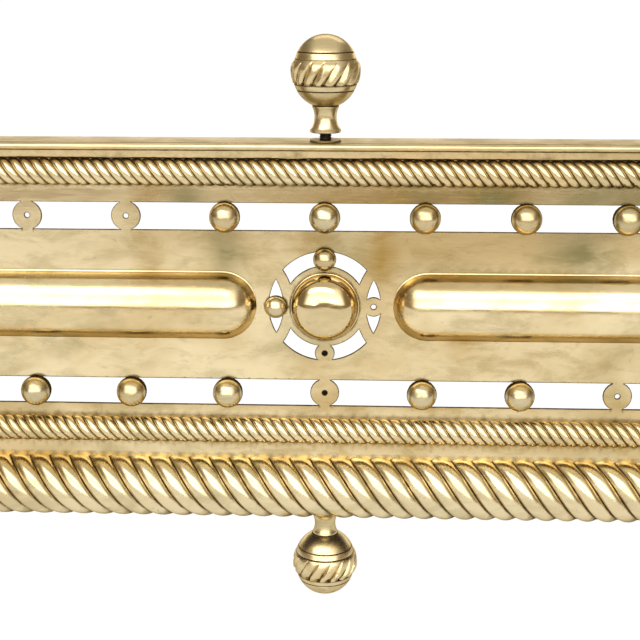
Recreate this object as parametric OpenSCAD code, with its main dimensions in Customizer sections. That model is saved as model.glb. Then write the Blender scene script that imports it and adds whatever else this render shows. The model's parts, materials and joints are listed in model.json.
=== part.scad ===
// Fire fender: a pierced sheet front with two returns, mitred at the corners,
// trimmed with rope-twist mouldings, on ball feet and with ball finials.
// The frame: X runs along the front, Y from the front to the hearth side,
// Z up from the floor, with the origin under the middle of the whole fender.

/* [Overall size] */
// Width over the two side base ropes
overall_w = 1067; // [840:1:1400]
// Depth from the front of the base rope to the back end plates
overall_d = 305; // [250:1:420]

/* [Base] */
// Height of the base rope moulding
base_rope_h = 33.9; // [28:0.1:40]
// How far the base rope stands out from the sheet
base_rope_proj = 16.95; // [14:0.05:19]
// Spacing of the base rope's strands, before it is fitted to a run
base_rope_pitch = 10.9; // [9:0.1:14]
// Depth of the groove between two strands of the base rope
base_rope_groove = 2.5; // [1.6:0.1:3]
// Bore radius of the hollow base rope
base_rope_bore = 12.6; // [9:0.1:13]
// Thickness of the skin round that bore, which ties the strands together
base_rope_skin = 1.2; // [0.8:0.1:1.3]
// Width of the iron bar under the sheet
base_bar_w = 30; // [26:0.5:40]
// Thickness of the iron bar under the sheet
base_bar_t = 6; // [4:0.5:8]

/* [Rope mouldings] */
// Height of the two narrow rope mouldings
rope_h = 14.3; // [12:0.1:16]
// How far a narrow rope stands out from the sheet
rope_proj = 7.15; // [6:0.05:8]
// Spacing of a narrow rope's strands, before it is fitted to a run
rope_pitch = 5.4; // [4.8:0.1:7]
// Depth of the groove between two strands of a narrow rope
rope_groove = 1.3; // [0.8:0.1:1.5]
// Bore radius of a hollow narrow rope
rope_bore = 4.5; // [3:0.1:4.7]
// Thickness of the skin round that bore
rope_skin = 1; // [0.6:0.1:1.2]

/* [Pierced sheet] */
// Thickness of the sheet
sheet_t = 1.2; // [0.8:0.1:1.6]
// How far the sheet's folded top and bottom edges reach back
flange_w = 17; // [15:0.5:20]
// Plain band between the base rope and the lower narrow rope
base_band = 8.2; // [5:0.1:14]
// Plain band between the lower narrow rope and the lower row of slots
lower_band = 7; // [5:0.1:12]
// Height of the pierced slots
slot_h = 14.4; // [12:0.1:15]
// Height of the plain field between the two rows of slots
field_h = 81.3; // [76:0.1:110]
// Plain band between the upper row of slots and the upper narrow rope
upper_band = 8.85; // [5:0.05:14]
// Spacing of the studs along the slots
stud_pitch = 52; // [40:0.5:64]
// Radius of the round tab that carries a stud
tab_r = 7.8; // [7.6:0.1:8]
// Least distance from a stud to the end of its run
stud_margin = 35; // [30:1:60]
// Plain sheet left beyond the end of a row of slots
slot_end_margin = 16; // [12:0.5:18]

/* [Embossed pillows] */
// Radius of a pillow's round section
pillow_r = 19; // [15:0.1:21]
// How far the axis of that section lies behind the face of the sheet
pillow_sink = 6; // [4:0.1:8]
// Distance from the middle of the front to a pillow's inner end
pillow_start = 35.6; // [33:0.1:60]
// Plain sheet left between a pillow and the end of its run
pillow_end_margin = 38; // [30:1:70]

/* [Rosette] */
// Outer radius of the pierced ring
ring_r = 29.5; // [28:0.1:31]
// Inner radius of the pierced ring
ring_inner_r = 21.9; // [20:0.1:22.5]
// Distance of the lens-shaped slots' second arc centre from the middle
lens_shift = 51.5; // [50:0.1:53]
// Width of the curved bars beside the lens-shaped slots
bar_w = 6; // [4:0.1:7]
// Radius of the ring's round tabs
ring_tab_r = 5.3; // [5:0.1:5.6]
// Radius of the boss over its bead
boss_r = 18.4; // [17:0.1:19]
// Radius of the bead round the boss
boss_bead_r = 1.4; // [1:0.1:1.8]
// Height of the boss's dome above its bead
boss_dome_h = 12.6; // [9:0.1:14]
// How far the dome's edge reaches into the bead
boss_quirk = 0.4; // [0.2:0.1:0.8]
// Diameter of the boss's stem behind the sheet
stem_d = 6; // [4:0.5:7]
// Height of the nut on that stem
boss_nut_h = 2.8; // [2:0.1:3]
// How far the stem stands past its nut
stem_end = 0.4; // [0.2:0.1:0.6]

/* [Studs] */
// Radius of the big studs along the slots
stud_r = 8; // [7.9:0.05:8.4]
// Radius of the small studs on the rosette
ring_stud_r = 5.9; // [5.7:0.05:6.2]
// How far a stud's ball centre stands in front of the sheet, as a share of its radius
stud_lift = 0.22; // [0.1:0.01:0.4]
// Diameter of a stud's pin
pin_d = 2.4; // [1.8:0.1:3]
// Diameter of the riveted head behind a stud
rivet_d = 4.6; // [4:0.1:6]
// Height of that riveted head
rivet_h = 0.9; // [0.5:0.1:1.4]

/* [Top rail] */
// Gap between the upper narrow rope and the rail's fascia
rail_gap = 0.75; // [0.3:0.05:2]
// Height of the fascia under the rail's nose
fascia_h = 3.7; // [3:0.1:5]
// Height of the quirk between fascia and nose
quirk_h = 0.4; // [0.3:0.1:0.8]
// Height of the rail's round nose
nose_h = 3.3; // [3:0.1:4.4]
// How far the fascia stands out from the sheet
fascia_proj = 3; // [2.6:0.1:3.4]
// How far the nose stands out from the sheet
nose_proj = 6; // [5:0.1:7]
// How far the rail reaches behind the sheet's face
rail_back = 22; // [20:0.5:28]
// Thickness of the brass skin on top of the rail
skin_t = 1; // [0.6:0.1:1.2]
// How far the iron core stands in front of the sheet's face
core_proj = 1.6; // [1.4:0.1:1.8]
// Open seam between the nosing and the top plate
seam_gap = 0.6; // [0.3:0.1:1]

/* [Finials and feet] */
// Radius of a ball's dome on the side of its neck
ball_r = 16.8; // [15:0.1:18]
// Radius of its dome on the far side
cap_r = 15.4; // [14:0.1:18]
// How much taller the ball is than a round ball of the first radius
ball_stretch = 3.8; // [2:0.1:6]
// Radius of the neck at its flange
flange_r = 8.05; // [7.4:0.05:9]
// Height of the neck's flange
flange_h = 1.6; // [1:0.1:2.5]
// Height from the flange's face to the middle of the ball
ball_mid = 31.1; // [29:0.1:36]
// Radius of the neck at its narrowest
neck_r = 5.85; // [5.4:0.05:6.6]
// Radius of the hollow curve of the neck
neck_curve_r = 11; // [9.5:0.1:14]
// Number of twisted lobes round a ball
lobe_count = 16; // [12:1:20]
// Lean of the lobes from upright
lobe_lean = 33; // [15:1:40]
// Height of the band of lobes
lobe_band_h = 11.4; // [8:0.1:13]
// How far the lobes stand out from the first dome's radius
lobe_proj = 1.1; // [0.8:0.1:1.6]
// Bevel of the band's two edges
lobe_bevel = 1.2; // [0.6:0.1:1.8]
// Depth of the flat that a foot stands on
foot_flat = 0.4; // [0.2:0.1:1]

/* [Tie rods] */
// Diameter of the tie rods
rod_d = 6.4; // [5:0.1:7]
// Distance of the rods behind the face of the sheet
rod_inset = 8.5; // [8:0.1:9.5]
// Distance of the back rods from the ends of the returns
rod_end_inset = 20; // [18:0.5:40]
// How deep a rod screws into a finial or a foot
rod_grip = 11; // [8:0.5:13]
// Length of bare thread under a finial
bare_thread = 3.8; // [0.5:0.1:8]
// Radial clearance round a rod in its holes
rod_clear = 0.1; // [0.05:0.05:0.3]
// Thickness of the washers under the finials
washer_t = 0.8; // [0.5:0.1:1.5]
// Diameter of the washers under the finials
washer_d = 16.4; // [13:0.1:18]
// Size of the nuts across their flats
nut_af = 10; // [9:0.5:11]
// Height of the nuts
nut_h = 5; // [3:0.5:6]

/* [Corners and ends] */
// Width of a corner angle's legs
angle_leg = 14; // [10:0.5:18]
// Thickness of a corner angle
angle_t = 1.6; // [1:0.1:2]
// Gap between a corner angle and the nuts above and below it
angle_gap = 2; // [1:0.5:6]
// Thickness of the end plates
end_plate_t = 1.2; // [0.8:0.1:2]
// Width of an end plate behind the sheet's face, between base and rail
end_plate_w = 12; // [10:0.5:16]

/* [Hidden] */
$fn = 72;

brass = "#C9A95B";
dark_brass = "#A88A48";
iron = "#4A4541";

// Heights, stacked from the floor
knob_h = ball_mid + ball_stretch/2 + ball_r;
foot_h = knob_h - foot_flat;
base_z = foot_h;
base_rope_z = base_z + base_rope_h/2;
bar_top = base_z + base_bar_t;
lower_rope_z = base_z + base_rope_h + base_band + rope_h/2;
lower_slot_z = lower_rope_z + rope_h/2 + lower_band + slot_h/2;
mid_z = lower_slot_z + slot_h/2 + field_h/2;
upper_slot_z = lower_slot_z + slot_h + field_h;
upper_rope_z = upper_slot_z + slot_h/2 + upper_band + rope_h/2;
fascia_z = upper_rope_z + rope_h/2 + rail_gap;
nose_z = fascia_z + fascia_h + quirk_h;
rail_top = nose_z + nose_h;

// The sheet's folded top edge starts this much above the fascia's foot
flange_lap = 0.2;
sheet_top = fascia_z + flange_lap + sheet_t;
core_z = sheet_top;
core_top = rail_top - skin_t;
washer_top = rail_top + washer_t;
finial_z = washer_top + bare_thread;

// Plan: the corner of the sheet's outer faces, and the two ends of a return
corner_x = overall_w/2 - base_rope_proj;
front_y = -overall_d/2 + base_rope_proj;
end_y = overall_d/2;
side_len = end_y - end_plate_t - front_y;
side_mid_y = front_y + side_len/2;

// Rods stand on the mitre lines, in the middle of the front and near the back ends
rod_x = corner_x - rod_inset;
rod_front_y = front_y + rod_inset;
rod_back_y = end_y - rod_end_inset;
hole_d = rod_d + 2*rod_clear;

far = 2*(overall_w + overall_d);

// How far the strands of a rope sink into each other
strand_lap = 0.05;

// Places of the studs along a run of the given half length, counted from its middle
function stud_side_count(half_len) = floor((half_len - stud_margin)/stud_pitch);

// Studs that are lost from the front, as their places counted from the middle
lost_upper = [-3, -2];
lost_lower = [0, 3];

// ---- Runs ----------------------------------------------------------------
// A run is drawn along X with the sheet's outer face on Y = 0, outward to -Y.

module on_front() {
    translate([0, front_y, 0]) children();
}

module on_left() {
    translate([-corner_x, side_mid_y, 0]) rotate([0, 0, -90]) children();
}

module on_right() {
    translate([corner_x, side_mid_y, 0]) rotate([0, 0, 90]) children();
}

// Everything beyond the mitre at X = end, which widens outward
module beyond_mitre(end) {
    translate([end, 0, 0]) rotate([0, 0, 45])
        translate([0, -far/2, -far/2]) cube([far/2, far, far]);
}

// Everything beyond a square end at X = end
module beyond_square(end) {
    translate([end, -far/2, -far/2]) cube([far/2, far, far]);
}

// A front run has two mitres
module front_cut() {
    difference() {
        children();
        beyond_mitre(corner_x);
        mirror([1, 0, 0]) beyond_mitre(corner_x);
    }
}

// A left return has its mitre at +X and its square end at -X
module left_cut() {
    difference() {
        children();
        beyond_mitre(side_len/2);
        mirror([1, 0, 0]) beyond_square(side_len/2);
    }
}

// A right return has its mitre at -X and its square end at +X
module right_cut() {
    difference() {
        children();
        mirror([1, 0, 0]) beyond_mitre(side_len/2);
        beyond_square(side_len/2);
    }
}

// A straight moulding of the profile given as children, with X of the profile
// measured outward from the sheet and Y of it upward
module moulding(length) {
    rotate([90, 0, -90]) translate([0, 0, -length/2]) linear_extrude(length) children();
}

// ---- Rope mouldings ------------------------------------------------------

// A strand is a flat half ring that leans along the run. Its centre lies behind
// the sheet's face, so that the rope is as tall and as proud as asked.
module strand(height, proj, pitch, groove, lean) {
    width = pitch*cos(lean) + strand_lap;
    crown_r = (width*width/4 + groove*groove)/(2*groove);
    reach = (height/2 - crown_r*(1 - cos(lean)))/cos(lean);
    ring_r = (reach*reach/proj + proj)/2;
    translate([0, ring_r - proj, 0]) rotate([0, 90 - lean, 0]) rotate([0, 0, 180])
        rotate_extrude(angle = 180) intersection() {
            translate([0, -width/2]) square([ring_r + 1, width]);
            translate([ring_r - crown_r, 0]) union() {
                circle(r = crown_r, $fn = 64);
                translate([-ring_r, -width/2]) square([ring_r, width]);
            }
        }
}

// A rope moulding, hollow and flat behind, for a run of length. Its strands are
// spaced so that both ends of the run cut one of them through its middle.
module rope(length, height, proj, pitch, groove, lean, bore, skin) {
    half_count = round(length/2/pitch);
    fitted = length/2/half_count;
    side_count = half_count + ceil((height*tan(lean)/2 + proj)/fitted) + 1;
    difference() {
        union() {
            for (i = [-side_count:side_count]) {
                translate([i*fitted, 0, 0]) strand(height, proj, fitted, groove, lean);
            }
            rotate([0, 90, 0])
                cylinder(r = bore + skin, h = 2*side_count*fitted, center = true);
        }
        translate([-far/2, 0, -height]) cube([far, 3*height, 2*height]);
        translate([-far/2, 0, 0]) rotate([0, 90, 0]) cylinder(r = bore, h = far);
    }
}

base_rope_lean = atan2(3, 5);
rope_lean = atan2(3, 4);

module base_rope(length) {
    translate([0, 0, base_rope_z])
        rope(length, base_rope_h, base_rope_proj, base_rope_pitch, base_rope_groove,
             base_rope_lean, base_rope_bore, base_rope_skin);
}

module narrow_rope(length, z) {
    translate([0, 0, z])
        rope(length, rope_h, rope_proj, rope_pitch, rope_groove, rope_lean, rope_bore,
             rope_skin);
}

module front_base_rope() {
    color(brass) on_front() front_cut() base_rope(2*corner_x);
}

module left_base_rope() {
    color(brass) on_left() left_cut() base_rope(side_len);
}

module right_base_rope() {
    color(brass) on_right() right_cut() base_rope(side_len);
}

module front_lower_rope() {
    color(brass) on_front() front_cut() narrow_rope(2*corner_x, lower_rope_z);
}

module left_lower_rope() {
    color(brass) on_left() left_cut() narrow_rope(side_len, lower_rope_z);
}

module right_lower_rope() {
    color(brass) on_right() right_cut() narrow_rope(side_len, lower_rope_z);
}

module front_upper_rope() {
    color(brass) on_front() front_cut() narrow_rope(2*corner_x, upper_rope_z);
}

module left_upper_rope() {
    color(brass) on_left() left_cut() narrow_rope(side_len, upper_rope_z);
}

module right_upper_rope() {
    color(brass) on_right() right_cut() narrow_rope(side_len, upper_rope_z);
}

// ---- Pierced sheet -------------------------------------------------------

// One row of slots with the tabs left standing in it
module slot_row(half_len) {
    count = stud_side_count(half_len);
    half_slot = half_len - slot_end_margin;
    difference() {
        square([2*half_slot, slot_h], center = true);
        for (i = [-count:count]) {
            translate([i*stud_pitch, 0]) circle(r = tab_r);
        }
    }
}

// Pin holes for one row of studs
module pin_holes(half_len) {
    count = stud_side_count(half_len);
    for (i = [-count:count]) {
        translate([i*stud_pitch, 0]) circle(d = pin_d + 2*rod_clear);
    }
}

// Middle of the ring, on which its tabs and small studs sit
tab_ring_r = lens_shift/2;

// Pierced ring: four arc slots, and a lens on each side split by its tab
module rosette_piercing() {
    difference() {
        circle(r = ring_r);
        circle(r = ring_inner_r);
        for (side = [-1, 1]) {
            translate([side*lens_shift, 0]) circle(r = ring_r + bar_w);
            translate([0, side*tab_ring_r]) circle(r = ring_tab_r);
        }
    }
    for (side = [-1, 1]) {
        difference() {
            intersection() {
                circle(r = ring_r);
                translate([side*lens_shift, 0]) circle(r = ring_r);
            }
            translate([side*tab_ring_r, 0]) circle(r = ring_tab_r);
        }
    }
    for (turn = [0:90:270]) {
        rotate(turn) translate([tab_ring_r, 0]) circle(d = pin_d + 2*rod_clear);
    }
    circle(d = stem_d + 2*rod_clear);
}

// Solid of a pillow: a round bar with ball ends, lying along X between two ends
module pillow_bar(start, end, radius) {
    length = end - start;
    translate([start, pillow_sink, mid_z]) rotate([0, 90, 0])
        rotate_extrude() intersection() {
            union() {
                translate([0, radius]) circle(r = radius);
                translate([0, length - radius]) circle(r = radius);
                translate([0, radius]) square([radius, length - 2*radius]);
            }
            square([radius + 1, length]);
        }
}

// The pillow's outline on the face of the sheet ends this much short of its bar
pillow_overlap = pillow_r - sqrt(pillow_r*pillow_r - pillow_sink*pillow_sink);

// Adds hollow pillows to a sheet; each place is [start, end] along the run
module with_pillows(places) {
    difference() {
        union() {
            children();
            for (place = places) {
                intersection() {
                    pillow_bar(place[0], place[1], pillow_r);
                    translate([-far/2, -far + sheet_t/2, 0]) cube([far, far, far]);
                }
            }
        }
        for (place = places) {
            pillow_bar(place[0] + sheet_t, place[1] - sheet_t, pillow_r - sheet_t);
        }
    }
}

// A sheet with folded edges, two rows of slots and pin holes, for one run
module pierced_sheet(half_len) {
    translate([0, sheet_t, 0]) rotate([90, 0, 0]) linear_extrude(sheet_t) difference() {
        translate([-half_len, bar_top]) square([2*half_len, sheet_top - bar_top]);
        for (z = [lower_slot_z, upper_slot_z]) {
            translate([0, z]) slot_row(half_len);
            translate([0, z]) pin_holes(half_len);
        }
        children();
    }
    for (z = [bar_top, sheet_top - sheet_t]) {
        translate([-half_len, sheet_t/2, z]) cube([2*half_len, flange_w - sheet_t/2, sheet_t]);
    }
}

module front_panel() {
    start = pillow_start - pillow_overlap;
    end = corner_x - pillow_end_margin + pillow_overlap;
    color(brass) difference() {
        on_front() front_cut() with_pillows([[start, end], [-end, -start]])
            pierced_sheet(corner_x) translate([0, mid_z]) rosette_piercing();
        rod_holes();
    }
}

// The sheet of one return, as drawn along its run
module return_sheet() {
    half_pillow = side_len/2 - pillow_end_margin + pillow_overlap;
    with_pillows([[-half_pillow, half_pillow]]) pierced_sheet(side_len/2);
}

module left_panel() {
    color(brass) difference() {
        on_left() left_cut() return_sheet();
        rod_holes();
    }
}

module right_panel() {
    color(brass) difference() {
        on_right() right_cut() return_sheet();
        rod_holes();
    }
}

// ---- Studs and rosette ---------------------------------------------------

// A stud with its riveted pin, pointing out of the sheet along Z
module stud(radius) {
    rotate_extrude() {
        intersection() {
            translate([0, radius*stud_lift]) circle(r = radius);
            square([radius + 1, 2*radius + 1]);
        }
        translate([0, -sheet_t - rivet_h]) square([pin_d/2, sheet_t + rivet_h + radius/2]);
        translate([0, -sheet_t - rivet_h]) square([rivet_d/2, rivet_h]);
    }
}

// Places a piece that is drawn along Z so that it points out of the sheet
module facing_out(x, z) {
    translate([x, 0, z]) rotate([90, 0, 0]) children();
}

// One row of studs, less those that are lost
module stud_row(half_len, z, lost) {
    count = stud_side_count(half_len);
    for (i = [-count:count]) {
        if (len([for (gap = lost) if (gap == i) gap]) == 0) {
            facing_out(i*stud_pitch, z) stud(stud_r);
        }
    }
}

module front_upper_studs() {
    color(brass) on_front() stud_row(corner_x, upper_slot_z, lost_upper);
}

module front_lower_studs() {
    color(brass) on_front() stud_row(corner_x, lower_slot_z, lost_lower);
}

module side_studs() {
    stud_row(side_len/2, upper_slot_z, []);
    stud_row(side_len/2, lower_slot_z, []);
}

module left_studs() {
    color(brass) on_left() side_studs();
}

module right_studs() {
    color(brass) on_right() side_studs();
}

// Dome with a bead round it, on a stem that passes through the sheet
module rosette_boss() {
    bead_in = boss_r - boss_bead_r;
    dome_base_r = bead_in - boss_bead_r + boss_quirk;
    dome_r = (dome_base_r*dome_base_r + boss_dome_h*boss_dome_h)/(2*boss_dome_h);
    stem_len = sheet_t + boss_nut_h + stem_end;
    color(brass) on_front() facing_out(0, mid_z) rotate_extrude() {
        intersection() {
            translate([bead_in, boss_bead_r/2]) circle(r = boss_bead_r, $fn = 36);
            square([boss_r + 1, boss_r]);
        }
        square([bead_in, boss_bead_r]);
        intersection() {
            translate([0, boss_bead_r + boss_dome_h - dome_r]) circle(r = dome_r);
            translate([0, boss_bead_r/2]) square([boss_r, boss_r]);
        }
        translate([0, -stem_len]) square([stem_d/2, stem_len + boss_bead_r]);
    }
}

module rosette_boss_nut() {
    color(dark_brass) on_front() facing_out(0, mid_z)
        translate([0, 0, -sheet_t - boss_nut_h]) hex_nut(boss_nut_h, stem_d);
}

// The small studs that are left on the ring: its top one and its left one
module rosette_studs() {
    color(brass) on_front() {
        facing_out(0, mid_z + tab_ring_r) stud(ring_stud_r);
        facing_out(-tab_ring_r, mid_z) stud(ring_stud_r);
    }
}

// ---- Top rail ------------------------------------------------------------

// Section of the nosing: fascia, quirk and round nose in front of the core
module nosing_section() {
    nose_r = nose_h/2;
    difference() {
        union() {
            translate([0, fascia_z]) square([fascia_proj, fascia_h]);
            translate([0, fascia_z]) square([fascia_proj - quirk_h, fascia_h + quirk_h + nose_r]);
            translate([0, nose_z]) square([nose_proj - nose_r, nose_h]);
            translate([nose_proj - nose_r, nose_z + nose_r]) circle(r = nose_r, $fn = 48);
        }
        translate([-nose_h, core_z]) square([nose_h + core_proj, rail_top]);
    }
}

// Section of the top plate, with its back edge turned down over the core
module plate_section() {
    front_edge = core_proj - seam_gap;
    translate([-rail_back, core_top]) square([rail_back + front_edge, skin_t]);
    translate([-rail_back, core_z]) square([skin_t, core_top - core_z + skin_t]);
}

module front_rail_nosing() {
    color(brass) on_front() front_cut() moulding(2*corner_x + far/4) nosing_section();
}

module left_rail_nosing() {
    color(brass) on_left() left_cut() moulding(side_len + far/4) nosing_section();
}

module right_rail_nosing() {
    color(brass) on_right() right_cut() moulding(side_len + far/4) nosing_section();
}

module front_rail_plate() {
    color(brass) difference() {
        on_front() front_cut() moulding(2*corner_x + far/4) plate_section();
        rod_holes();
    }
}

module left_rail_plate() {
    color(brass) difference() {
        on_left() left_cut() moulding(side_len + far/4) plate_section();
        rod_holes();
    }
}

module right_rail_plate() {
    color(brass) difference() {
        on_right() right_cut() moulding(side_len + far/4) plate_section();
        rod_holes();
    }
}

// ---- Iron bars, half-lapped at the corners -------------------------------

// Front bar: its ends keep their upper half
module lapped_front_bar(proj, back, z, thick) {
    half = corner_x + proj;
    difference() {
        translate([-half, front_y - proj, z]) cube([2*half, back + proj, thick]);
        for (side = [-1, 1]) {
            translate([side*(half - (back + proj)/2), front_y + (back - proj)/2, z])
                cube([back + proj, back + proj + 1, thick], center = true);
        }
        rod_holes();
    }
}

// Left bar: its front end keeps its lower half
module lapped_left_bar(proj, back, z, thick) {
    half = corner_x + proj;
    difference() {
        translate([-half, front_y - proj, z])
            cube([back + proj, side_len + proj, thick]);
        translate([-half - 1, front_y - proj - 1, z + thick/2])
            cube([back + proj + 2, back + proj + 1, thick]);
        rod_holes();
    }
}

module lapped_right_bar(proj, back, z, thick) {
    mirror([1, 0, 0]) lapped_left_bar(proj, back, z, thick);
}

module front_rail_core() {
    color(iron) lapped_front_bar(core_proj, rail_back - skin_t, core_z, core_top - core_z);
}

module left_rail_core() {
    color(iron) lapped_left_bar(core_proj, rail_back - skin_t, core_z, core_top - core_z);
}

module right_rail_core() {
    color(iron) lapped_right_bar(core_proj, rail_back - skin_t, core_z, core_top - core_z);
}

module front_base_bar() {
    color(iron) lapped_front_bar(0, base_bar_w, base_z, base_bar_t);
}

module left_base_bar() {
    color(iron) lapped_left_bar(0, base_bar_w, base_z, base_bar_t);
}

module right_base_bar() {
    color(iron) lapped_right_bar(0, base_bar_w, base_z, base_bar_t);
}

// ---- Finials, feet and tie rods ------------------------------------------

rod_places = [[0, rod_front_y], [-rod_x, rod_front_y], [rod_x, rod_front_y],
    [-rod_x, rod_back_y], [rod_x, rod_back_y]];

// Holes for all the tie rods
module rod_holes() {
    for (place = rod_places) {
        translate([place[0], place[1], base_z - 1]) cylinder(d = hole_d, h = rail_top);
    }
}

// Half the height of the band of lobes
half_band = lobe_band_h/2;

// The lobes' bars are this much wider than their spacing, so that they run together
lobe_swell = 1.08;

// Twisted lobes round the ball: leaning round bars cut off by the bevelled band
module lobes() {
    band_r = ball_r + lobe_proj;
    lobe_r = lobe_swell*PI*band_r*cos(lobe_lean)/lobe_count;
    bar_len = 2*lobe_band_h;
    intersection() {
        for (i = [0:lobe_count - 1]) {
            rotate([0, 0, 360*i/lobe_count]) translate([0, lobe_r - band_r, ball_mid])
                rotate([0, lobe_lean, 0]) cylinder(r = lobe_r, h = bar_len, center = true);
        }
        translate([0, 0, ball_mid]) rotate_extrude() polygon([
            [0, -half_band],
            [band_r - lobe_bevel, -half_band],
            [band_r, lobe_bevel - half_band],
            [band_r, half_band - lobe_bevel],
            [band_r - lobe_bevel, half_band],
            [0, half_band]
        ]);
    }
}

// Right half of a circle whose middle is at the given height
module half_disc(radius, height) {
    translate([0, height]) intersection() {
        circle(r = radius);
        translate([0, -radius]) square([radius, 2*radius]);
    }
}

// A turned knob standing on its flange: hollow-curved neck, two smooth domes
// and a band of lobes between them, bored for its rod
module knob() {
    ball_foot = ball_mid - ball_stretch/2 - ball_r;
    difference() {
        union() {
            rotate_extrude() {
                square([flange_r, flange_h]);
                difference() {
                    square([flange_r - flange_h/2, ball_foot + flange_h]);
                    translate([neck_r + neck_curve_r, (flange_h + ball_foot + ball_stretch/2)/2])
                        circle(r = neck_curve_r);
                }
                half_disc(ball_r, ball_foot + ball_r);
                half_disc(cap_r, knob_h - cap_r);
            }
            lobes();
        }
        translate([0, 0, -1]) cylinder(d = hole_d, h = rod_grip + rod_clear + 1);
    }
}

module finial(place) {
    color(brass) translate([place[0], place[1], finial_z]) knob();
}

// A foot is the same knob turned over, with a small flat to stand on
module foot(place) {
    color(brass) difference() {
        translate([place[0], place[1], foot_h]) rotate([180, 0, 0]) knob();
        translate([place[0], place[1], -foot_flat]) cylinder(r = ball_r, h = foot_flat);
    }
}

module tie_rod(place) {
    bottom = foot_h - rod_grip;
    color(iron) translate([place[0], place[1], bottom])
        cylinder(d = rod_d, h = finial_z + rod_grip - bottom);
}

module front_centre_finial() {
    finial(rod_places[0]);
}

module front_left_finial() {
    finial(rod_places[1]);
}

module front_right_finial() {
    finial(rod_places[2]);
}

module back_left_finial() {
    finial(rod_places[3]);
}

module back_right_finial() {
    finial(rod_places[4]);
}

module front_centre_foot() {
    foot(rod_places[0]);
}

module front_left_foot() {
    foot(rod_places[1]);
}

module front_right_foot() {
    foot(rod_places[2]);
}

module back_left_foot() {
    foot(rod_places[3]);
}

module back_right_foot() {
    foot(rod_places[4]);
}

module front_centre_tie_rod() {
    tie_rod(rod_places[0]);
}

module front_left_tie_rod() {
    tie_rod(rod_places[1]);
}

module front_right_tie_rod() {
    tie_rod(rod_places[2]);
}

module back_left_tie_rod() {
    tie_rod(rod_places[3]);
}

module back_right_tie_rod() {
    tie_rod(rod_places[4]);
}

// A hexagon nut standing on Z = 0
module hex_nut(height, bore) {
    difference() {
        cylinder(d = nut_af/cos(30), h = height, $fn = 6);
        translate([0, 0, -1]) cylinder(d = bore + 2*rod_clear, h = height + 2);
    }
}

module at_rods(z) {
    for (place = rod_places) {
        translate([place[0], place[1], z]) children();
    }
}

module finial_washers() {
    color(dark_brass) at_rods(rail_top) difference() {
        cylinder(d = washer_d, h = washer_t);
        translate([0, 0, -1]) cylinder(d = hole_d, h = washer_t + 2);
    }
}

module rail_nuts() {
    color(iron) at_rods(sheet_top - sheet_t - nut_h) hex_nut(nut_h, rod_d);
}

module base_nuts() {
    color(iron) at_rods(bar_top + sheet_t) hex_nut(nut_h, rod_d);
}

// ---- Corner angles and end plates ----------------------------------------

// Angle soldered inside the left corner, between the nuts
module left_corner_angle() {
    bottom = bar_top + sheet_t + nut_h + angle_gap;
    top = sheet_top - sheet_t - nut_h - angle_gap;
    color(brass) translate([sheet_t - corner_x, front_y + sheet_t, bottom]) {
        cube([angle_leg, angle_t, top - bottom]);
        cube([angle_t, angle_leg, top - bottom]);
    }
}

module right_corner_angle() {
    mirror([1, 0, 0]) left_corner_angle();
}

// Half-round end of a rope, standing out from the sheet's face
module rope_end(z, height, proj) {
    arc_r = (height*height/4 + proj*proj)/(2*proj);
    intersection() {
        translate([proj - arc_r, z]) circle(r = arc_r);
        translate([0, z - height/2]) square([proj + 1, height]);
    }
}

// Outline of an end plate, X outward from the sheet's face and Y up
module end_plate_section() {
    rope_end(base_rope_z, base_rope_h, base_rope_proj);
    rope_end(lower_rope_z, rope_h, rope_proj);
    rope_end(upper_rope_z, rope_h, rope_proj);
    translate([-base_bar_w, base_z]) square([base_bar_w, base_bar_t]);
    translate([-end_plate_w, base_z]) square([end_plate_w, rail_top - base_z]);
    translate([-rail_back, core_z]) square([rail_back, rail_top - core_z]);
    translate([-sheet_t, fascia_z]) square([sheet_t + fascia_proj, fascia_h]);
    translate([-sheet_t, nose_z - quirk_h])
        square([sheet_t + fascia_proj - quirk_h, quirk_h + nose_h]);
    translate([0, nose_z]) square([nose_proj - nose_h/2, nose_h]);
    translate([nose_proj - nose_h/2, nose_z + nose_h/2]) circle(d = nose_h, $fn = 48);
}

module right_end_plate() {
    color(brass) translate([corner_x, end_y, 0]) rotate([90, 0, 0])
        linear_extrude(end_plate_t) end_plate_section();
}

module left_end_plate() {
    mirror([1, 0, 0]) right_end_plate();
}

front_panel();
left_panel();
right_panel();
front_base_rope();
left_base_rope();
right_base_rope();
front_lower_rope();
left_lower_rope();
right_lower_rope();
front_upper_rope();
left_upper_rope();
right_upper_rope();
front_rail_nosing();
left_rail_nosing();
right_rail_nosing();
front_rail_plate();
left_rail_plate();
right_rail_plate();
front_rail_core();
left_rail_core();
right_rail_core();
front_base_bar();
left_base_bar();
right_base_bar();
front_upper_studs();
front_lower_studs();
left_studs();
right_studs();
rosette_boss();
rosette_boss_nut();
rosette_studs();
front_centre_finial();
front_left_finial();
front_right_finial();
back_left_finial();
back_right_finial();
front_centre_foot();
front_left_foot();
front_right_foot();
back_left_foot();
back_right_foot();
front_centre_tie_rod();
front_left_tie_rod();
front_right_tie_rod();
back_left_tie_rod();
back_right_tie_rod();
finial_washers();
rail_nuts();
base_nuts();
left_corner_angle();
right_corner_angle();
left_end_plate();
right_end_plate();
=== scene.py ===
"""Looks of a brass fire fender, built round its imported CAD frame.

The fender is a front and two returns, mitred at the corners. Each run carries
a pierced sheet, three rope mouldings and a top rail; turned balls stand on the
rail as finials and under the base as feet.
"""

from __future__ import annotations

import json
import logging
import math
from dataclasses import dataclass
from enum import Enum
from functools import cached_property
from typing import Callable, Iterable, Sequence, Union

import bmesh
import bpy
import numpy as np
from bpy.types import Material, Mesh, Node, NodeSocket, NodeTree
from bpy.types import Object as Item
from mathutils import Euler, Matrix, Vector, kdtree, noise
from mathutils.geometry import delaunay_2d_cdt

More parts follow.
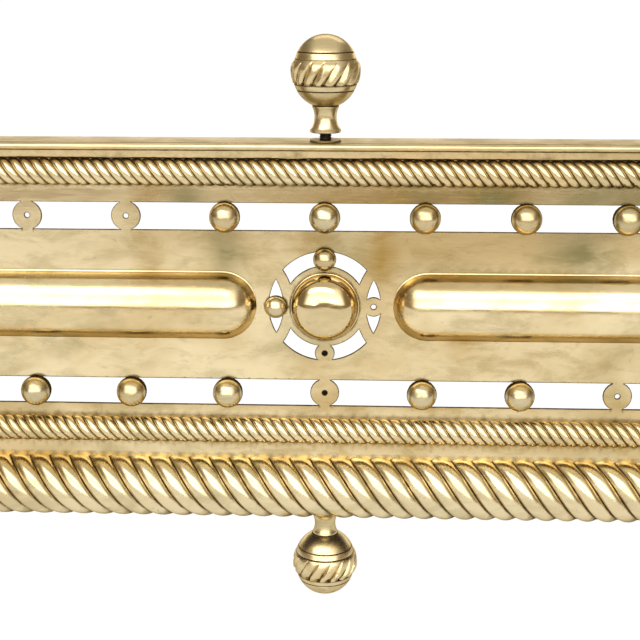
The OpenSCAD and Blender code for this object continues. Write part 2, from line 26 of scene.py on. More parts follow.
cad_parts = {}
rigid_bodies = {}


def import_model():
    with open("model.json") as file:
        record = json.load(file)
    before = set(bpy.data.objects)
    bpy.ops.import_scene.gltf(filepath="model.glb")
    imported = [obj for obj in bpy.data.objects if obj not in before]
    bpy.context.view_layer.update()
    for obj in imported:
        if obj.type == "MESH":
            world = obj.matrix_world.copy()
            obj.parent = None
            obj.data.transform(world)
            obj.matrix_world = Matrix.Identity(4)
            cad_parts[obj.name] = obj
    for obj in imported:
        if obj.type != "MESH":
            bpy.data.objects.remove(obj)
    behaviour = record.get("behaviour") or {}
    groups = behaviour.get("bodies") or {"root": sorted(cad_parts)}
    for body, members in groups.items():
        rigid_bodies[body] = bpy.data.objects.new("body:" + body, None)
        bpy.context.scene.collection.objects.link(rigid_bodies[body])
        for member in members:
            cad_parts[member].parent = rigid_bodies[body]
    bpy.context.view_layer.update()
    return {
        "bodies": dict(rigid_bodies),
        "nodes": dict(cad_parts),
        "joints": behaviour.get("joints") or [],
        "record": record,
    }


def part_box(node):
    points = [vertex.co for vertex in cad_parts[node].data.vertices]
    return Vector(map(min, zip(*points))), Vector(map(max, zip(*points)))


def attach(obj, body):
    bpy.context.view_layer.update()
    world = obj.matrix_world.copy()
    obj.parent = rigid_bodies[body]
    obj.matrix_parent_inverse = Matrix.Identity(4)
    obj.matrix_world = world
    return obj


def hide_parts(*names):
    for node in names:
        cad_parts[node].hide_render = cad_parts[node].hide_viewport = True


LOG = logging.getLogger("fender")
MM = 0.001
BODY = "root"
ROPE_LEVELS = ("base", "lower", "upper")
RODS = ("front_centre", "front_left", "front_right", "back_left", "back_right")
FACING_OUT = Matrix.Rotation(math.pi / 2, 4, "X")
FACE_MERGE = 2e-6
SWEEP_SPARE = 10 * MM
PILLOW_MARGIN = 38 * MM
PILLOW_TO_ROSETTE = 35.6 * MM
NUT_STEPS = 48

Point = tuple[float, float]
Loop = list[Point]
Faces = list[tuple[int, ...]]
Wave = Callable[[np.ndarray, int, float], tuple[np.ndarray, np.ndarray]]


class Side(Enum):
    """The three runs of the fender."""

    FRONT = "front"
    LEFT = "left"
    RIGHT = "right"


class End(Enum):
    """How the end of a run is cut."""

    MITRE = "mitre"
    SQUARE = "square"


@dataclass(frozen=True)
class Tint:
    """A linear colour, by its red, green and blue shares from 0 to 1."""

    red: float
    green: float
    blue: float

    def rgba(self) -> tuple[float, float, float, float]:
        """The colour with full alpha."""
        return (self.red, self.green, self.blue, 1.0)


WARM_BRASS = Tint(0.60, 0.42, 0.18)
OLIVE_BRASS = Tint(0.40, 0.33, 0.16)
# Brown is laid for stains and, with black, for tarnish and painted shade where the crevice attribute is high.
BROWN_TARNISH_AND_SHADE = Tint(0.13, 0.085, 0.03)
BLACK_TARNISH_AND_SHADE = Tint(0.025, 0.017, 0.008)
EDGE_TINT = Tint(0.55, 0.48, 0.36)
# Tints of the patches of tarnish and painted reflection on the sheets.
SMUDGE_AND_REFLECTION_TINTS = {"brown": Tint(0.43, 0.26, 0.055), "olive": Tint(0.30, 0.255, 0.11)}

Feed = Union[NodeSocket, Tint, float, tuple]

# How much mottling, scratches and the crevice film of tarnish and painted shade roughen the brass, and how
# deep and fine its marks are.
MOTTLE_ROUGHENS = 0.08
SCRATCH_ROUGHENS = 0.12
FILM_ROUGHENS = 0.4
SCRATCH_DEPTH = 0.014 * MM
LATHE_DEPTH = 0.01 * MM
RUST_DEPTH = 0.12 * MM
RUST_GRAIN = 160.0
CREVICE_GRAIN = 220.0


# ---- node trees


class NodeSheet:
    """A node tree under construction, with short calls for its nodes."""

    def __init__(self, tree: NodeTree) -> None:
        """Starts on a tree, emptied of whatever came with it."""
        self.tree = tree
        tree.nodes.clear()

    def plug(self, socket: NodeSocket, value: Feed) -> None:
        """Links an input to an output socket, or sets it to a tint or a plain value."""
        if isinstance(value, NodeSocket):
            self.tree.links.new(value, socket)
        else:
            socket.default_value = value.rgba() if isinstance(value, Tint) else value

    def node(self, kind: str, inputs: dict[str | int, Feed] | None = None, **settings) -> Node:
        """Adds a node.

        Args:
            kind: the node's type.
            inputs: what feeds its inputs, by name or number.
            settings: what to set on the node before that.

        Returns:
            The node.
        """
        node = self.tree.nodes.new(kind)
        for key, value in settings.items():
            setattr(node, key, value)
        for key, value in (inputs or {}).items():
            self.plug(node.inputs[key], value)
        return node

    def math(self, operation: str, *operands: Feed) -> NodeSocket:
        """The result of a Math node."""
        return self.node("ShaderNodeMath", dict(enumerate(operands)), operation=operation).outputs[0]

    def ramp(self, value: Feed, low: float, high: float) -> NodeSocket:
        """A smooth step from 0 at the low level to 1 at the high one."""
        levels = {"Value": value, "From Min": low, "From Max": high}
        return self.node("ShaderNodeMapRange", levels, interpolation_type="SMOOTHSTEP").outputs["Result"]

    def mix(self, base: Feed, top: Feed, mask: Feed) -> NodeSocket:
        """Lays one colour over another where a mask says."""
        return self.node("ShaderNodeMix", {0: mask, 6: base, 7: top}, data_type="RGBA").outputs[2]

    def cloud(self, coords: Feed, scale: float, detail: float, **more: float) -> NodeSocket:
        """Noise of a given scale and detail; more names its other inputs."""
        inputs = {"Vector": coords, "Scale": scale, "Detail": detail, **more}
        return self.node("ShaderNodeTexNoise", inputs).outputs["Fac"]

    def mapped(self, coords: Feed, **inputs: tuple) -> NodeSocket:
        """Coordinates moved, turned or stretched by a Mapping node's inputs."""
        return self.node("ShaderNodeMapping", {"Vector": coords, **inputs}).outputs[0]


class MaterialSheet(NodeSheet):
    """A material under construction."""

    def __init__(self, name: str) -> None:
        """Starts a material with its shader and its output."""
        self.material = bpy.data.materials.new(name)
        self.material.use_nodes = True
        super().__init__(self.material.node_tree)
        self.output = self.node("ShaderNodeOutputMaterial")
        self.shader = self.node("ShaderNodeBsdfPrincipled")
        self.plug(self.output.inputs["Surface"], self.shader.outputs["BSDF"])

    @cached_property
    def coords(self) -> NodeSocket:
        """Object coordinates, in metres."""
        return self.node("ShaderNodeTexCoord").outputs["Object"]

    def attribute(self, name: str) -> NodeSocket:
        """The value of one of the mesh's own attributes."""
        return self.node("ShaderNodeAttribute", attribute_name=name).outputs["Fac"]

    def group(self, tree: NodeTree, **inputs: Feed) -> bpy.types.NodeOutputs:
        """Places a node group on the object coordinates and gives its outputs."""
        return self.node("ShaderNodeGroup", {"Coords": self.coords, **inputs}, node_tree=tree).outputs

    def lay(self, base: Feed, top: Feed, mask: NodeSocket, share: float) -> NodeSocket:
        """Lays a share of one colour over another where a mask says."""
        return self.mix(base, top, self.math("MULTIPLY", mask, share))

    def finish(self, colour: Feed, rough: Feed, height: NodeSocket, metallic: float) -> Material:
        """Feeds the shader.

        Args:
            colour: the base colour.
            rough: the roughness.
            height: the surface's relief, in metres.
            metallic: how metallic it is.

        Returns:
            The finished material.
        """
        bump = self.node("ShaderNodeBump", {"Height": height, "Distance": 1.0, "Strength": 1.0})
        for label, value in (("Base Color", colour), ("Roughness", rough), ("Metallic", metallic),
                             ("Normal", bump.outputs["Normal"])):
            self.plug(self.shader.inputs[label], value)
        return self.material


class GroupSheet(NodeSheet):
    """A node group under construction."""

    def __init__(self, name: str, kind: str, inputs: dict[str, tuple[str, object]],
                 outputs: dict[str, str]) -> None:
        """Starts a group.

        Args:
            name: the group's name.
            kind: the tree's type.
            inputs: name to socket type and default value.
            outputs: name to socket type.
        """
        super().__init__(bpy.data.node_groups.new(name, kind))
        for label, (socket_type, default) in inputs.items():
            socket = self.tree.interface.new_socket(label, in_out="INPUT", socket_type=socket_type)
            if default is not None:
                socket.default_value = default
        for label, socket_type in outputs.items():
            self.tree.interface.new_socket(label, in_out="OUTPUT", socket_type=socket_type)
        self.given = self.tree.nodes.new("NodeGroupInput").outputs
        self.wanted = self.tree.nodes.new("NodeGroupOutput").inputs


class EffectSheet(GroupSheet):
    """A shader effect on object coordinates, with plain values as outputs."""

    def __init__(self, name: str, outputs: Sequence[str], **inputs: float) -> None:
        """Starts an effect; inputs are named with their default values."""
        sockets = {label: ("NodeSocketFloat", default) for label, default in inputs.items()}
        super().__init__(name, "ShaderNodeTree", {"Coords": ("NodeSocketVector", None), **sockets},
                         {label: "NodeSocketFloat" for label in outputs})
        self.coords = self.given["Coords"]


# ---- finishes


class EffectGroups:
    """The effects that more than one finish uses."""

    def __init__(self) -> None:
        """Builds every group once."""
        self.patina = self._patina()
        self.scratches = self._scratches()
        self.crevices = self._crevices()
        self.ripples = self._ripples()
        self.lathe_rings = self._lathe_rings()

    @staticmethod
    def _patina() -> NodeTree:
        """Broad warm and olive clouds, streaky mottling and small stains."""
        sheet = EffectSheet("patina", ("Warm", "Olive", "Mottle", "Stain"))
        for label, scale, stretch, detail, low, high in (
                ("Warm", 9.0, 1.6, 4.0, 0.46, 0.66), ("Olive", 13.0, 1.3, 4.0, 0.48, 0.70),
                ("Mottle", 42.0, 2.4, 6.0, 0.44, 0.68), ("Stain", 170.0, 1.0, 6.0, 0.60, 0.76)):
            shift = 1.7 * scale
            place = sheet.mapped(sheet.coords, Location=(shift, shift, shift), Scale=(1.0, 1.0, stretch))
            cloud = sheet.cloud(place, scale, detail, Roughness=0.62, Distortion=0.4)
            sheet.plug(sheet.wanted[label], sheet.ramp(cloud, low, high))
        return sheet.tree

    @staticmethod
    def _scratches() -> NodeTree:
        """Polishing strokes along the runs and aslant, each where a cloud puts them."""
        sheet = EffectSheet("scratches", ("Height", "Mask"))
        strokes = []
        for turn, fine in ((0.0, 1100.0), (0.75, 700.0), (-0.6, 800.0)):
            place = sheet.mapped(sheet.coords, Rotation=(turn, turn, 0.3 * turn), Scale=(60.0, 60.0, fine))
            strokes.append(sheet.cloud(place, 1.0, 3.0, Roughness=0.65))
        where = sheet.cloud(sheet.coords, 28.0, 1.0)
        marks = strokes[0]
        for stroke, low, high in ((strokes[1], 0.46, 0.54), (strokes[2], 0.58, 0.64)):
            inputs = {0: sheet.ramp(where, low, high), 2: marks, 3: stroke}
            marks = sheet.node("ShaderNodeMix", inputs, data_type="FLOAT").outputs[0]
        sheet.plug(sheet.wanted["Height"], marks)
        sheet.plug(sheet.wanted["Mask"], sheet.ramp(marks, 0.35, 0.75))
        return sheet.tree

    @staticmethod
    def _crevices() -> NodeTree:
        """Tarnish and painted shade, laid where the mesh's crevice attribute is high."""
        sheet = EffectSheet("crevices", ("Film", "Dirt"), Crevice=0.0)
        grain = sheet.cloud(sheet.coords, CREVICE_GRAIN, 4.0, Roughness=0.65)
        ragged = sheet.math("MULTIPLY_ADD", grain, 0.5, -0.25)
        deep = sheet.math("ADD", sheet.given["Crevice"], ragged)
        sheet.plug(sheet.wanted["Film"], sheet.ramp(deep, 0.35, 0.95))
        sheet.plug(sheet.wanted["Dirt"], sheet.ramp(deep, 0.75, 1.05))
        return sheet.tree

    @staticmethod
    def _ripples() -> NodeTree:
        """Slow waves of hand-worked metal."""
        sheet = EffectSheet("ripples", ("Height",), Scale=12.0)
        waves = sheet.cloud(sheet.coords, sheet.given["Scale"], 2.0, Roughness=0.45)
        sheet.plug(sheet.wanted["Height"], waves)
        return sheet.tree

    @staticmethod
    def _lathe_rings() -> NodeTree:
        """Fine rings left by turning about an upright axis."""
        sheet = EffectSheet("lathe_rings", ("Height",))
        flat = sheet.mapped(sheet.coords, Scale=(8.0, 8.0, 3200.0))
        sheet.plug(sheet.wanted["Height"], sheet.cloud(flat, 1.0, 2.0))
        return sheet.tree


@dataclass(frozen=True)
class BrassFinish:
    """One finish of the brass, from bright to dirty.

    Fields are shares from 0 to 1, but for ripple, its depth in millimetres,
    ripple_scale, how fine it is, and what says whether it was turned or carries patches of tarnish and
    painted reflection.
    """

    name: str
    clean: Tint
    cloud: float
    stain: float
    roughness: float
    mottle: float = 0.3
    crevice: float = 0.0
    scratch: float = 0.3
    ripple: float = 0.0
    ripple_scale: float = 12.0
    turned: bool = False
    smudged: bool = False

    def build(self, groups: EffectGroups) -> Material:
        """Makes the material with the shared effect groups.

        Args:
            groups: the groups.

        Returns:
            The finished material.
        """
        sheet = MaterialSheet(self.name)
        sheet.shader.inputs["Specular Tint"].default_value = EDGE_TINT.rgba()
        patina, scratches = sheet.group(groups.patina), sheet.group(groups.scratches)
        colour = self.clean
        for label, tint, share in (
                ("Warm", WARM_BRASS, self.cloud), ("Olive", OLIVE_BRASS, self.cloud),
                ("Mottle", OLIVE_BRASS, self.mottle), ("Stain", BROWN_TARNISH_AND_SHADE, self.stain)):
            colour = sheet.lay(colour, tint, patina[label], share)
        # Patches of tarnish and painted reflection, from the sheet's brown and olive attributes.
        if self.smudged:
            ragged = sheet.math("MULTIPLY_ADD", patina["Mottle"], 0.45, 0.8)
            for name, tint in SMUDGE_AND_REFLECTION_TINTS.items():
                colour = sheet.mix(colour, tint, sheet.math("MULTIPLY", sheet.attribute(name), ragged))
        rough = sheet.math("MULTIPLY_ADD", patina["Mottle"], MOTTLE_ROUGHENS, self.roughness)
        rough = sheet.math("MULTIPLY_ADD", scratches["Mask"], SCRATCH_ROUGHENS * self.scratch, rough)
        # Tarnish and painted shade where the mesh's crevice attribute is high.
        if self.crevice:
            dirt_and_shade = sheet.group(groups.crevices, Crevice=sheet.attribute("crevice"))
            colour = sheet.lay(colour, BROWN_TARNISH_AND_SHADE, dirt_and_shade["Film"], self.crevice)
            colour = sheet.lay(colour, BLACK_TARNISH_AND_SHADE, dirt_and_shade["Dirt"], self.crevice)
            rough = sheet.math("MULTIPLY_ADD", dirt_and_shade["Film"], FILM_ROUGHENS * self.crevice, rough)
        height = sheet.math("MULTIPLY", scratches["Height"], SCRATCH_DEPTH * self.scratch)
        if self.ripple:
            waves = sheet.group(groups.ripples, Scale=self.ripple_scale)
            height = sheet.math("MULTIPLY_ADD", waves["Height"], self.ripple * MM, height)
        if self.turned:
            rings = sheet.group(groups.lathe_rings)
            height = sheet.math("MULTIPLY_ADD", rings["Height"], LATHE_DEPTH, height)
        return sheet.finish(colour, rough, height, metallic=1.0)


@dataclass(frozen=True)
class IronFinish:
    """Dark iron with light rust."""

    name: str
    clean: Tint = Tint(0.035, 0.026, 0.022)
    rust: Tint = Tint(0.11, 0.045, 0.02)
    rust_share: float = 0.6
    roughness: float = 0.55

    def build(self, groups: EffectGroups) -> Material:
        """Makes the material with the shared effect groups.

        Args:
            groups: the groups.

        Returns:
            The finished material.
        """
        sheet = MaterialSheet(self.name)
        rust = sheet.group(groups.patina)["Stain"]
        scale = sheet.group(groups.ripples, Scale=RUST_GRAIN)["Height"]
        colour = sheet.lay(self.clean, self.rust, rust, self.rust_share)
        rough = sheet.math("MULTIPLY_ADD", rust, 0.3, self.roughness)
        return sheet.finish(colour, rough, sheet.math("MULTIPLY", scale, RUST_DEPTH), metallic=0.8)


FINISHES = (
    BrassFinish("sheet_brass", Tint(0.86, 0.71, 0.43), cloud=0.6, mottle=0.45, stain=0.3, crevice=0.95,
                roughness=0.16, scratch=0.7, ripple=0.35, ripple_scale=9.0, smudged=True),
    BrassFinish("rope_brass", Tint(0.78, 0.65, 0.40), cloud=0.45, mottle=0.35, stain=0.35, crevice=1.0,
                roughness=0.22, scratch=0.2, ripple=0.05, ripple_scale=150.0),
    BrassFinish("rail_brass", Tint(0.70, 0.56, 0.32), cloud=0.5, mottle=0.5, stain=0.45, crevice=1.0,
                roughness=0.27, scratch=0.6, ripple=0.12, ripple_scale=22.0),
    BrassFinish("turned_brass", Tint(0.72, 0.58, 0.33), cloud=0.55, mottle=0.65, stain=0.6, crevice=1.0,
                roughness=0.25, scratch=0.6, ripple=0.1, ripple_scale=70.0, turned=True),
    BrassFinish("polished_brass", Tint(0.62, 0.52, 0.32), cloud=0.4, mottle=0.65, stain=0.5, crevice=1.0,
                roughness=0.24, scratch=0.6, ripple=0.12, ripple_scale=160.0),
    BrassFinish("mirror_brass", Tint(0.72, 0.575, 0.33), cloud=0.3, mottle=0.25, stain=0.3, crevice=1.0,
                roughness=0.07, ripple=0.04, ripple_scale=90.0),
    BrassFinish("dull_brass", Tint(0.42, 0.31, 0.14), cloud=0.4, stain=0.8, roughness=0.3),
    IronFinish("iron"),
)


class Paintbox:
    """Every material of the fender, by its name."""

    def __init__(self) -> None:
        """Builds the materials."""
        groups = EffectGroups()
        self.by_name = {finish.name: finish.build(groups) for finish in FINISHES}

    def dress(self, piece: Item, slot: str, finish: str) -> None:
        """Gives a new piece its material."""
        piece.data.materials.clear()
        piece.data.materials.append(self.by_name[finish])

    def dress_node(self, node: Item, finish: str) -> None:
        """Gives a CAD node its material."""
        if not node.material_slots:
            node.data.materials.append(None)
        for place in node.material_slots:
            place.material = self.by_name[finish]


# ---- mesh tools


def new_mesh(name: str, points: np.ndarray, faces: Sequence[Sequence[int]]) -> Mesh:
    """Makes a mesh from its corners, in metres, and the corners of each face.

    Args:
        name: its name.
        points: the corners.
        faces: the faces.

    Returns:
        The mesh.
    """
    mesh = bpy.data.meshes.new(name)
    mesh.from_pydata([tuple(map(float, p)) for p in points], [], [tuple(f) for f in faces])
    mesh.update()
    return mesh


def new_object(name: str, mesh: Mesh) -> Item:
    """Links a mesh to the scene as an object at the origin."""
    piece = bpy.data.objects.new(name, mesh)
    bpy.context.scene.collection.objects.link(piece)
    return piece


def grid_faces(rows: int, columns: int, wrap_rows: bool = False, wrap_columns: bool = False) -> Faces:
    """Quads over a grid of corners stored row by row.

    Args:
        rows: how many rows.
        columns: how many corners in a row.
        wrap_rows: whether the last row joins the first.
        wrap_columns: whether a row's last corner joins its first.

    Returns:
        The faces.
    """
    faces = []
    for row in range(rows if wrap_rows else rows - 1):
        below = (row + 1) % rows
        for column in range(columns if wrap_columns else columns - 1):
            beside = (column + 1) % columns
            faces.append((row * columns + column, row * columns + beside,
                          below * columns + beside, below * columns + column))
    return faces


def set_attribute(mesh: Mesh, name: str, values: Iterable[float]) -> None:
    """Stores one value per corner of a mesh."""
    layer = mesh.attributes.new(name, "FLOAT", "POINT")
    layer.data.foreach_set("value", np.asarray(list(values), np.float32))


def near(gap: np.ndarray, reach: float, peak: float = 1.0) -> np.ndarray:
    """Tarnish at its peak where a gap is closed, fading over a reach."""
    return peak * np.exp(-np.maximum(gap, 0) / reach)


def smooth(mesh: Mesh, angle: float) -> None:
    """Shades a mesh smooth, but for edges that turn further than an angle in degrees."""
    mesh.shade_smooth()
    mesh.set_sharp_from_angle(angle=math.radians(angle))


def join(meshes: Sequence[Mesh]) -> Mesh:
    """Joins meshes into a new one and removes them.

    Args:
        meshes: the meshes.

    Returns:
        The joined mesh.
    """
    work = bmesh.new()
    for mesh in meshes:
        work.from_mesh(mesh)
        bpy.data.meshes.remove(mesh)
    whole = bpy.data.meshes.new("whole")
    work.to_mesh(whole)
    work.free()
    return whole


def outward(mesh: Mesh, merge: float = 1e-6) -> None:
    """Merges a mesh's doubles and turns its faces outwards."""
    work = bmesh.new()
    work.from_mesh(mesh)
    bmesh.ops.remove_doubles(work, verts=work.verts, dist=merge)
    bmesh.ops.recalc_face_normals(work, faces=work.faces)
    work.to_mesh(mesh)
    work.free()


def round_angles(count: int) -> np.ndarray:
    """Angles of a number of corners spread evenly round an axis."""
    return np.arange(count) * (2 * math.pi / count)


def ring_points(radius: np.ndarray | float, angles: np.ndarray, height: np.ndarray | float) -> np.ndarray:
    """Corners round the upright axis at given radii, angles and heights."""
    return np.stack([radius * np.cos(angles), radius * np.sin(angles),
                     np.broadcast_to(height, angles.shape)], 1)


def revolve(profile: Sequence[Point], turns: int, closed: bool = False) -> tuple[np.ndarray, Faces]:
    """Turns a profile about the upright axis.

    Args:
        profile: radius and height of each point.
        turns: how many corners round the axis.
        closed: whether the profile's last point joins its first.

    Returns:
        The corners and the faces.
    """
    rows = [ring_points(radius, round_angles(turns), height) for radius, height in profile]
    return np.concatenate(rows), grid_faces(len(rows), turns, wrap_rows=closed, wrap_columns=True)


def on_circle(centre: Point, radius: float, angles: Iterable[float]) -> Loop:
    """Points on a circle at given angles."""
    return [(centre[0] + radius * math.cos(a), centre[1] + radius * math.sin(a)) for a in angles]


def arc(centre: Point, radius: float, start: float, end: float, count: int) -> Loop:
    """A number of points along an arc between two angles in degrees."""
    angles = [math.radians(start + (end - start) * i / (count - 1)) for i in range(count)]
    return on_circle(centre, radius, angles)


# ---- geometry nodes


class PatternTree(GroupSheet):
    """A Geometry Nodes tree under construction, for what repeats."""

    def __init__(self, name: str, **inputs: float | str) -> None:
        """Starts a tree that takes and gives geometry.

        Args:
            name: the tree's name.
            inputs: its inputs' default values, whole numbers for counts.
        """
        kinds = {int: "NodeSocketInt", float: "NodeSocketFloat"}
        sockets = {label: (kinds[type(default)], default) for label, default in inputs.items()}
        super().__init__(name, "GeometryNodeTree",
                         {"Geometry": ("NodeSocketGeometry", None), **sockets,
                          "Shape": ("NodeSocketObject", None), "Material": ("NodeSocketMaterial", None)},
                         {"Geometry": "NodeSocketGeometry"})

    def line(self, height: Feed = 0.0) -> NodeSocket:
        """Count points along X, a Pitch apart from Start on, at a height."""
        step = self.node("ShaderNodeCombineXYZ", {"X": self.given["Pitch"]})
        start = self.node("ShaderNodeCombineXYZ", {"X": self.given["Start"], "Z": height})
        places = {"Count": self.given["Count"], "Start Location": start.outputs[0], "Offset": step.outputs[0]}
        return self.node("GeometryNodeMeshLine", places, mode="OFFSET", count_mode="TOTAL").outputs["Mesh"]

    def turn(self, axis: str) -> NodeSocket:
        """A turn by chance about one axis."""
        inputs = {2: 0.0, 3: 2 * math.pi, "Seed": self.given["Seed"]}
        chance = self.node("FunctionNodeRandomValue", inputs, data_type="FLOAT")
        return self.node("ShaderNodeCombineXYZ", {axis: chance.outputs[1]}).outputs[0]

    def copies(self, points: NodeSocket, shape: NodeSocket, **inputs: NodeSocket) -> NodeSocket:
        """Copies of a shape on points."""
        inputs = {"Points": points, "Instance": shape, **inputs}
        return self.node("GeometryNodeInstanceOnPoints", inputs).outputs[0]

    def weld(self, geometry: NodeSocket) -> NodeSocket:
        """Makes copies real and merges the corners where they meet."""
        solid = self.node("GeometryNodeRealizeInstances", {"Geometry": geometry})
        merge = {"Geometry": solid.outputs[0], "Distance": FACE_MERGE}
        return self.node("GeometryNodeMergeByDistance", merge).outputs[0]

    def close(self, geometry: NodeSocket) -> NodeTree:
        """Ends the tree in Realize Instances, a weld and Set Material."""
        inputs = {"Geometry": self.weld(geometry), "Material": self.given["Material"]}
        painted = self.node("GeometryNodeSetMaterial", inputs)
        self.plug(self.wanted["Geometry"], painted.outputs[0])
        return self.tree


def grow(seed: Mesh, tree: NodeTree, values: dict[str, object]) -> Mesh:
    """Runs a tree on a mesh and gives the result as a plain mesh.

    Args:
        seed: the mesh that the tree repeats, which is removed.
        tree: the tree.
        values: its inputs, by name.

    Returns:
        The plain mesh.
    """
    carrier = new_object("seed", seed)
    modifier = carrier.modifiers.new("pattern", "NODES")
    modifier.node_group = tree
    for item in tree.interface.items_tree:
        if item.item_type == "SOCKET" and item.in_out == "INPUT" and item.name in values:
            modifier[item.identifier] = values[item.name]
    depsgraph = bpy.context.evaluated_depsgraph_get()
    depsgraph.update()
    mesh = bpy.data.meshes.new_from_object(carrier.evaluated_get(depsgraph), preserve_all_data_layers=True,
                                           depsgraph=depsgraph)
    carrier.modifiers.remove(modifier)
    bpy.data.objects.remove(carrier)
    bpy.data.meshes.remove(seed)
    return mesh


class Patterns:
    """The trees that this fender's repeats are made by."""

    def __init__(self) -> None:
        """Builds each tree once."""
        self.strand_run = self._strand_run()
        self.row = self._row()
        self.scatter = self._scatter()

    @staticmethod
    def _strand_run() -> NodeTree:
        """Strands laid side by side along X, then worked by hand a little."""
        sheet = PatternTree("strand_run", Count=10, Pitch=0.005, Start=0.0, Wobble=0.0, Fineness=60.0)
        strands = sheet.copies(sheet.line(), sheet.given["Geometry"])
        tex = sheet.node("ShaderNodeTexNoise", {"Scale": sheet.given["Fineness"], "Detail": 1.0})
        centred = sheet.node("ShaderNodeVectorMath", {0: tex.outputs["Color"], 1: (0.5, 0.5, 0.5)},
                             operation="SUBTRACT")
        shift = sheet.node("ShaderNodeVectorMath", {0: centred.outputs[0], "Scale": sheet.given["Wobble"]},
                           operation="SCALE")
        worked = sheet.node("GeometryNodeSetPosition",
                            {"Geometry": sheet.weld(strands), "Offset": shift.outputs[0]})
        return sheet.close(worked.outputs[0])

    @staticmethod
    def _row() -> NodeTree:
        """Copies of the seed along X, less two that are lost, each turned by chance about Y."""
        sheet = PatternTree("stud_row", Count=3, Pitch=0.05, Start=0.0, Height=0.0,
                            LostA=-1, LostB=-1, Seed=1)
        index = sheet.node("GeometryNodeInputIndex").outputs[0]
        there = [sheet.node("FunctionNodeCompare", {2: index, 3: sheet.given[label]}, data_type="INT",
                            operation="NOT_EQUAL").outputs[0] for label in ("LostA", "LostB")]
        kept = sheet.node("FunctionNodeBooleanMath", dict(enumerate(there)), operation="AND").outputs[0]
        return sheet.close(sheet.copies(sheet.line(sheet.given["Height"]), sheet.given["Geometry"],
                                        Selection=kept, Rotation=sheet.turn("Y")))

    @staticmethod
    def _scatter() -> NodeTree:
        """A shape on every corner of the seed, each turned by chance about Z."""
        sheet = PatternTree("scatter", Seed=1)
        shape = sheet.node("GeometryNodeObjectInfo", {"Object": sheet.given["Shape"]}).outputs["Geometry"]
        return sheet.close(sheet.copies(sheet.given["Geometry"], shape, Rotation=sheet.turn("Z")))


class Workshop:
    """The patterns and materials, and the last steps that every new piece takes."""

    def __init__(self) -> None:
        """Builds the patterns and the materials."""
        self.patterns = Patterns()
        self.paint = Paintbox()

    def repeat(self, seed: Mesh, tree: NodeTree, finish: str, **values: object) -> Mesh:
        """Repeats a seed by a pattern, in one finish; values are the pattern's other inputs."""
        return grow(seed, tree, {**values, "Material": self.paint.by_name[finish]})

    def hand_over(self, mesh: Mesh, node: str, ending: str, slot: str, angle: float,
                  place: Matrix | None = None, finish: str = "") -> Item:
        """Makes a mesh the piece that stands for a CAD node.

        Args:
            mesh: the mesh.
            node: the CAD node.
            ending: what the piece's name adds to the node's.
            slot: the record's material slot.
            angle: the greatest turn between faces that is shaded smooth, in degrees.
            place: where the mesh goes, if it isn't in its place yet.
            finish: the finish, if it isn't the one named as the slot.

        Returns:
            The finished piece.
        """
        smooth(mesh, angle)
        if place is not None:
            mesh.transform(place)
        mesh.name = f"{node}_{ending}"
        piece = new_object(mesh.name, mesh)
        self.paint.dress(piece, slot, finish or slot)
        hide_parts(node)
        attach(piece, BODY)
        return piece


# ---- layout


@dataclass(frozen=True)
class Run:
    """One run, drawn along X with the sheet's face on Y = 0 and outward to -Y.

    Fields are its side, its half length on that face, its place in the frame
    and how its low and high ends are cut.
    """

    side: Side
    half: float
    place: Matrix
    low: End
    high: End

    def clamp(self, x: np.ndarray | float, out: np.ndarray | float) -> np.ndarray:
        """Keeps places along X within the run's cut ends, at a distance in front of the face."""
        low = -self.half - (out if self.low is End.MITRE else 0.0)
        high = self.half + (out if self.high is End.MITRE else 0.0)
        return np.minimum(np.maximum(x, low), high)

    def cut(self, mesh: Mesh) -> None:
        """Cuts a closed mesh, still drawn along X, at both ends of the run and closes the cuts.

        Args:
            mesh: the mesh.
        """
        work = bmesh.new()
        work.from_mesh(mesh)
        for sign, end in ((-1, self.low), (1, self.high)):
            normal = Vector((sign, 1.0 if end is End.MITRE else 0.0, 0.0)).normalized()
            parts = bmesh.ops.bisect_plane(
                work, geom=[*work.verts, *work.edges, *work.faces], dist=1e-7,
                plane_co=(sign * self.half, 0.0, 0.0), plane_no=normal, clear_outer=True)
            rim = [item for item in parts["geom_cut"] if isinstance(item, bmesh.types.BMEdge)]
            bmesh.ops.edgeloop_fill(work, edges=rim)
        bmesh.ops.recalc_face_normals(work, faces=work.faces)
        work.to_mesh(mesh)
        work.free()


@dataclass(frozen=True)
class Section:
    """The box of a moulding's section: its lowest and highest points and how far it stands out."""

    low: float
    high: float
    proud: float

    @property
    def mid(self) -> float:
        """Height of its middle."""
        return (self.low + self.high) / 2

    @property
    def half_height(self) -> float:
        """Half its height."""
        return (self.high - self.low) / 2


@dataclass(frozen=True)
class Layout:
    """The fender's main lines, read from the frame, in metres."""

    corner_x: float
    front_y: float
    end_y: float

    @classmethod
    def read(cls) -> Layout:
        """Reads the lines from the boxes of the CAD nodes."""
        low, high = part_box("front_lower_rope")
        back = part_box("left_lower_rope")[1].y
        return cls(corner_x=high.x - (high.y - low.y), front_y=high.y, end_y=back)

    def run(self, side: Side) -> Run:
        """One of the three runs.

        Args:
            side: its side.

        Returns:
            The run.
        """
        if side is Side.FRONT:
            spot = Matrix.Translation((0.0, self.front_y, 0.0))
            return Run(side, self.corner_x, spot, End.MITRE, End.MITRE)
        sign = -1.0 if side is Side.LEFT else 1.0
        spot = Matrix.Translation((sign * self.corner_x, (self.end_y + self.front_y) / 2, 0.0))
        ends = (End.SQUARE, End.MITRE) if side is Side.LEFT else (End.MITRE, End.SQUARE)
        half = (self.end_y - self.front_y) / 2
        return Run(side, half, spot @ Matrix.Rotation(sign * math.pi / 2, 4, "Z"), *ends)

    def section(self, node: str, side: Side) -> Section:
        """The section box of the CAD node of a moulding on one side."""
        low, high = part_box(node)
        proud = {Side.FRONT: self.front_y - low.y, Side.LEFT: -self.corner_x - low.x,
                 Side.RIGHT: high.x - self.corner_x}[side]
        return Section(low.z, high.z, proud)


def node_axis(node: str) -> Point:
    """Where the upright axis of a CAD node stands, in X and Y."""
    low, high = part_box(node)
    return (low.x + high.x) / 2, (low.y + high.y) / 2


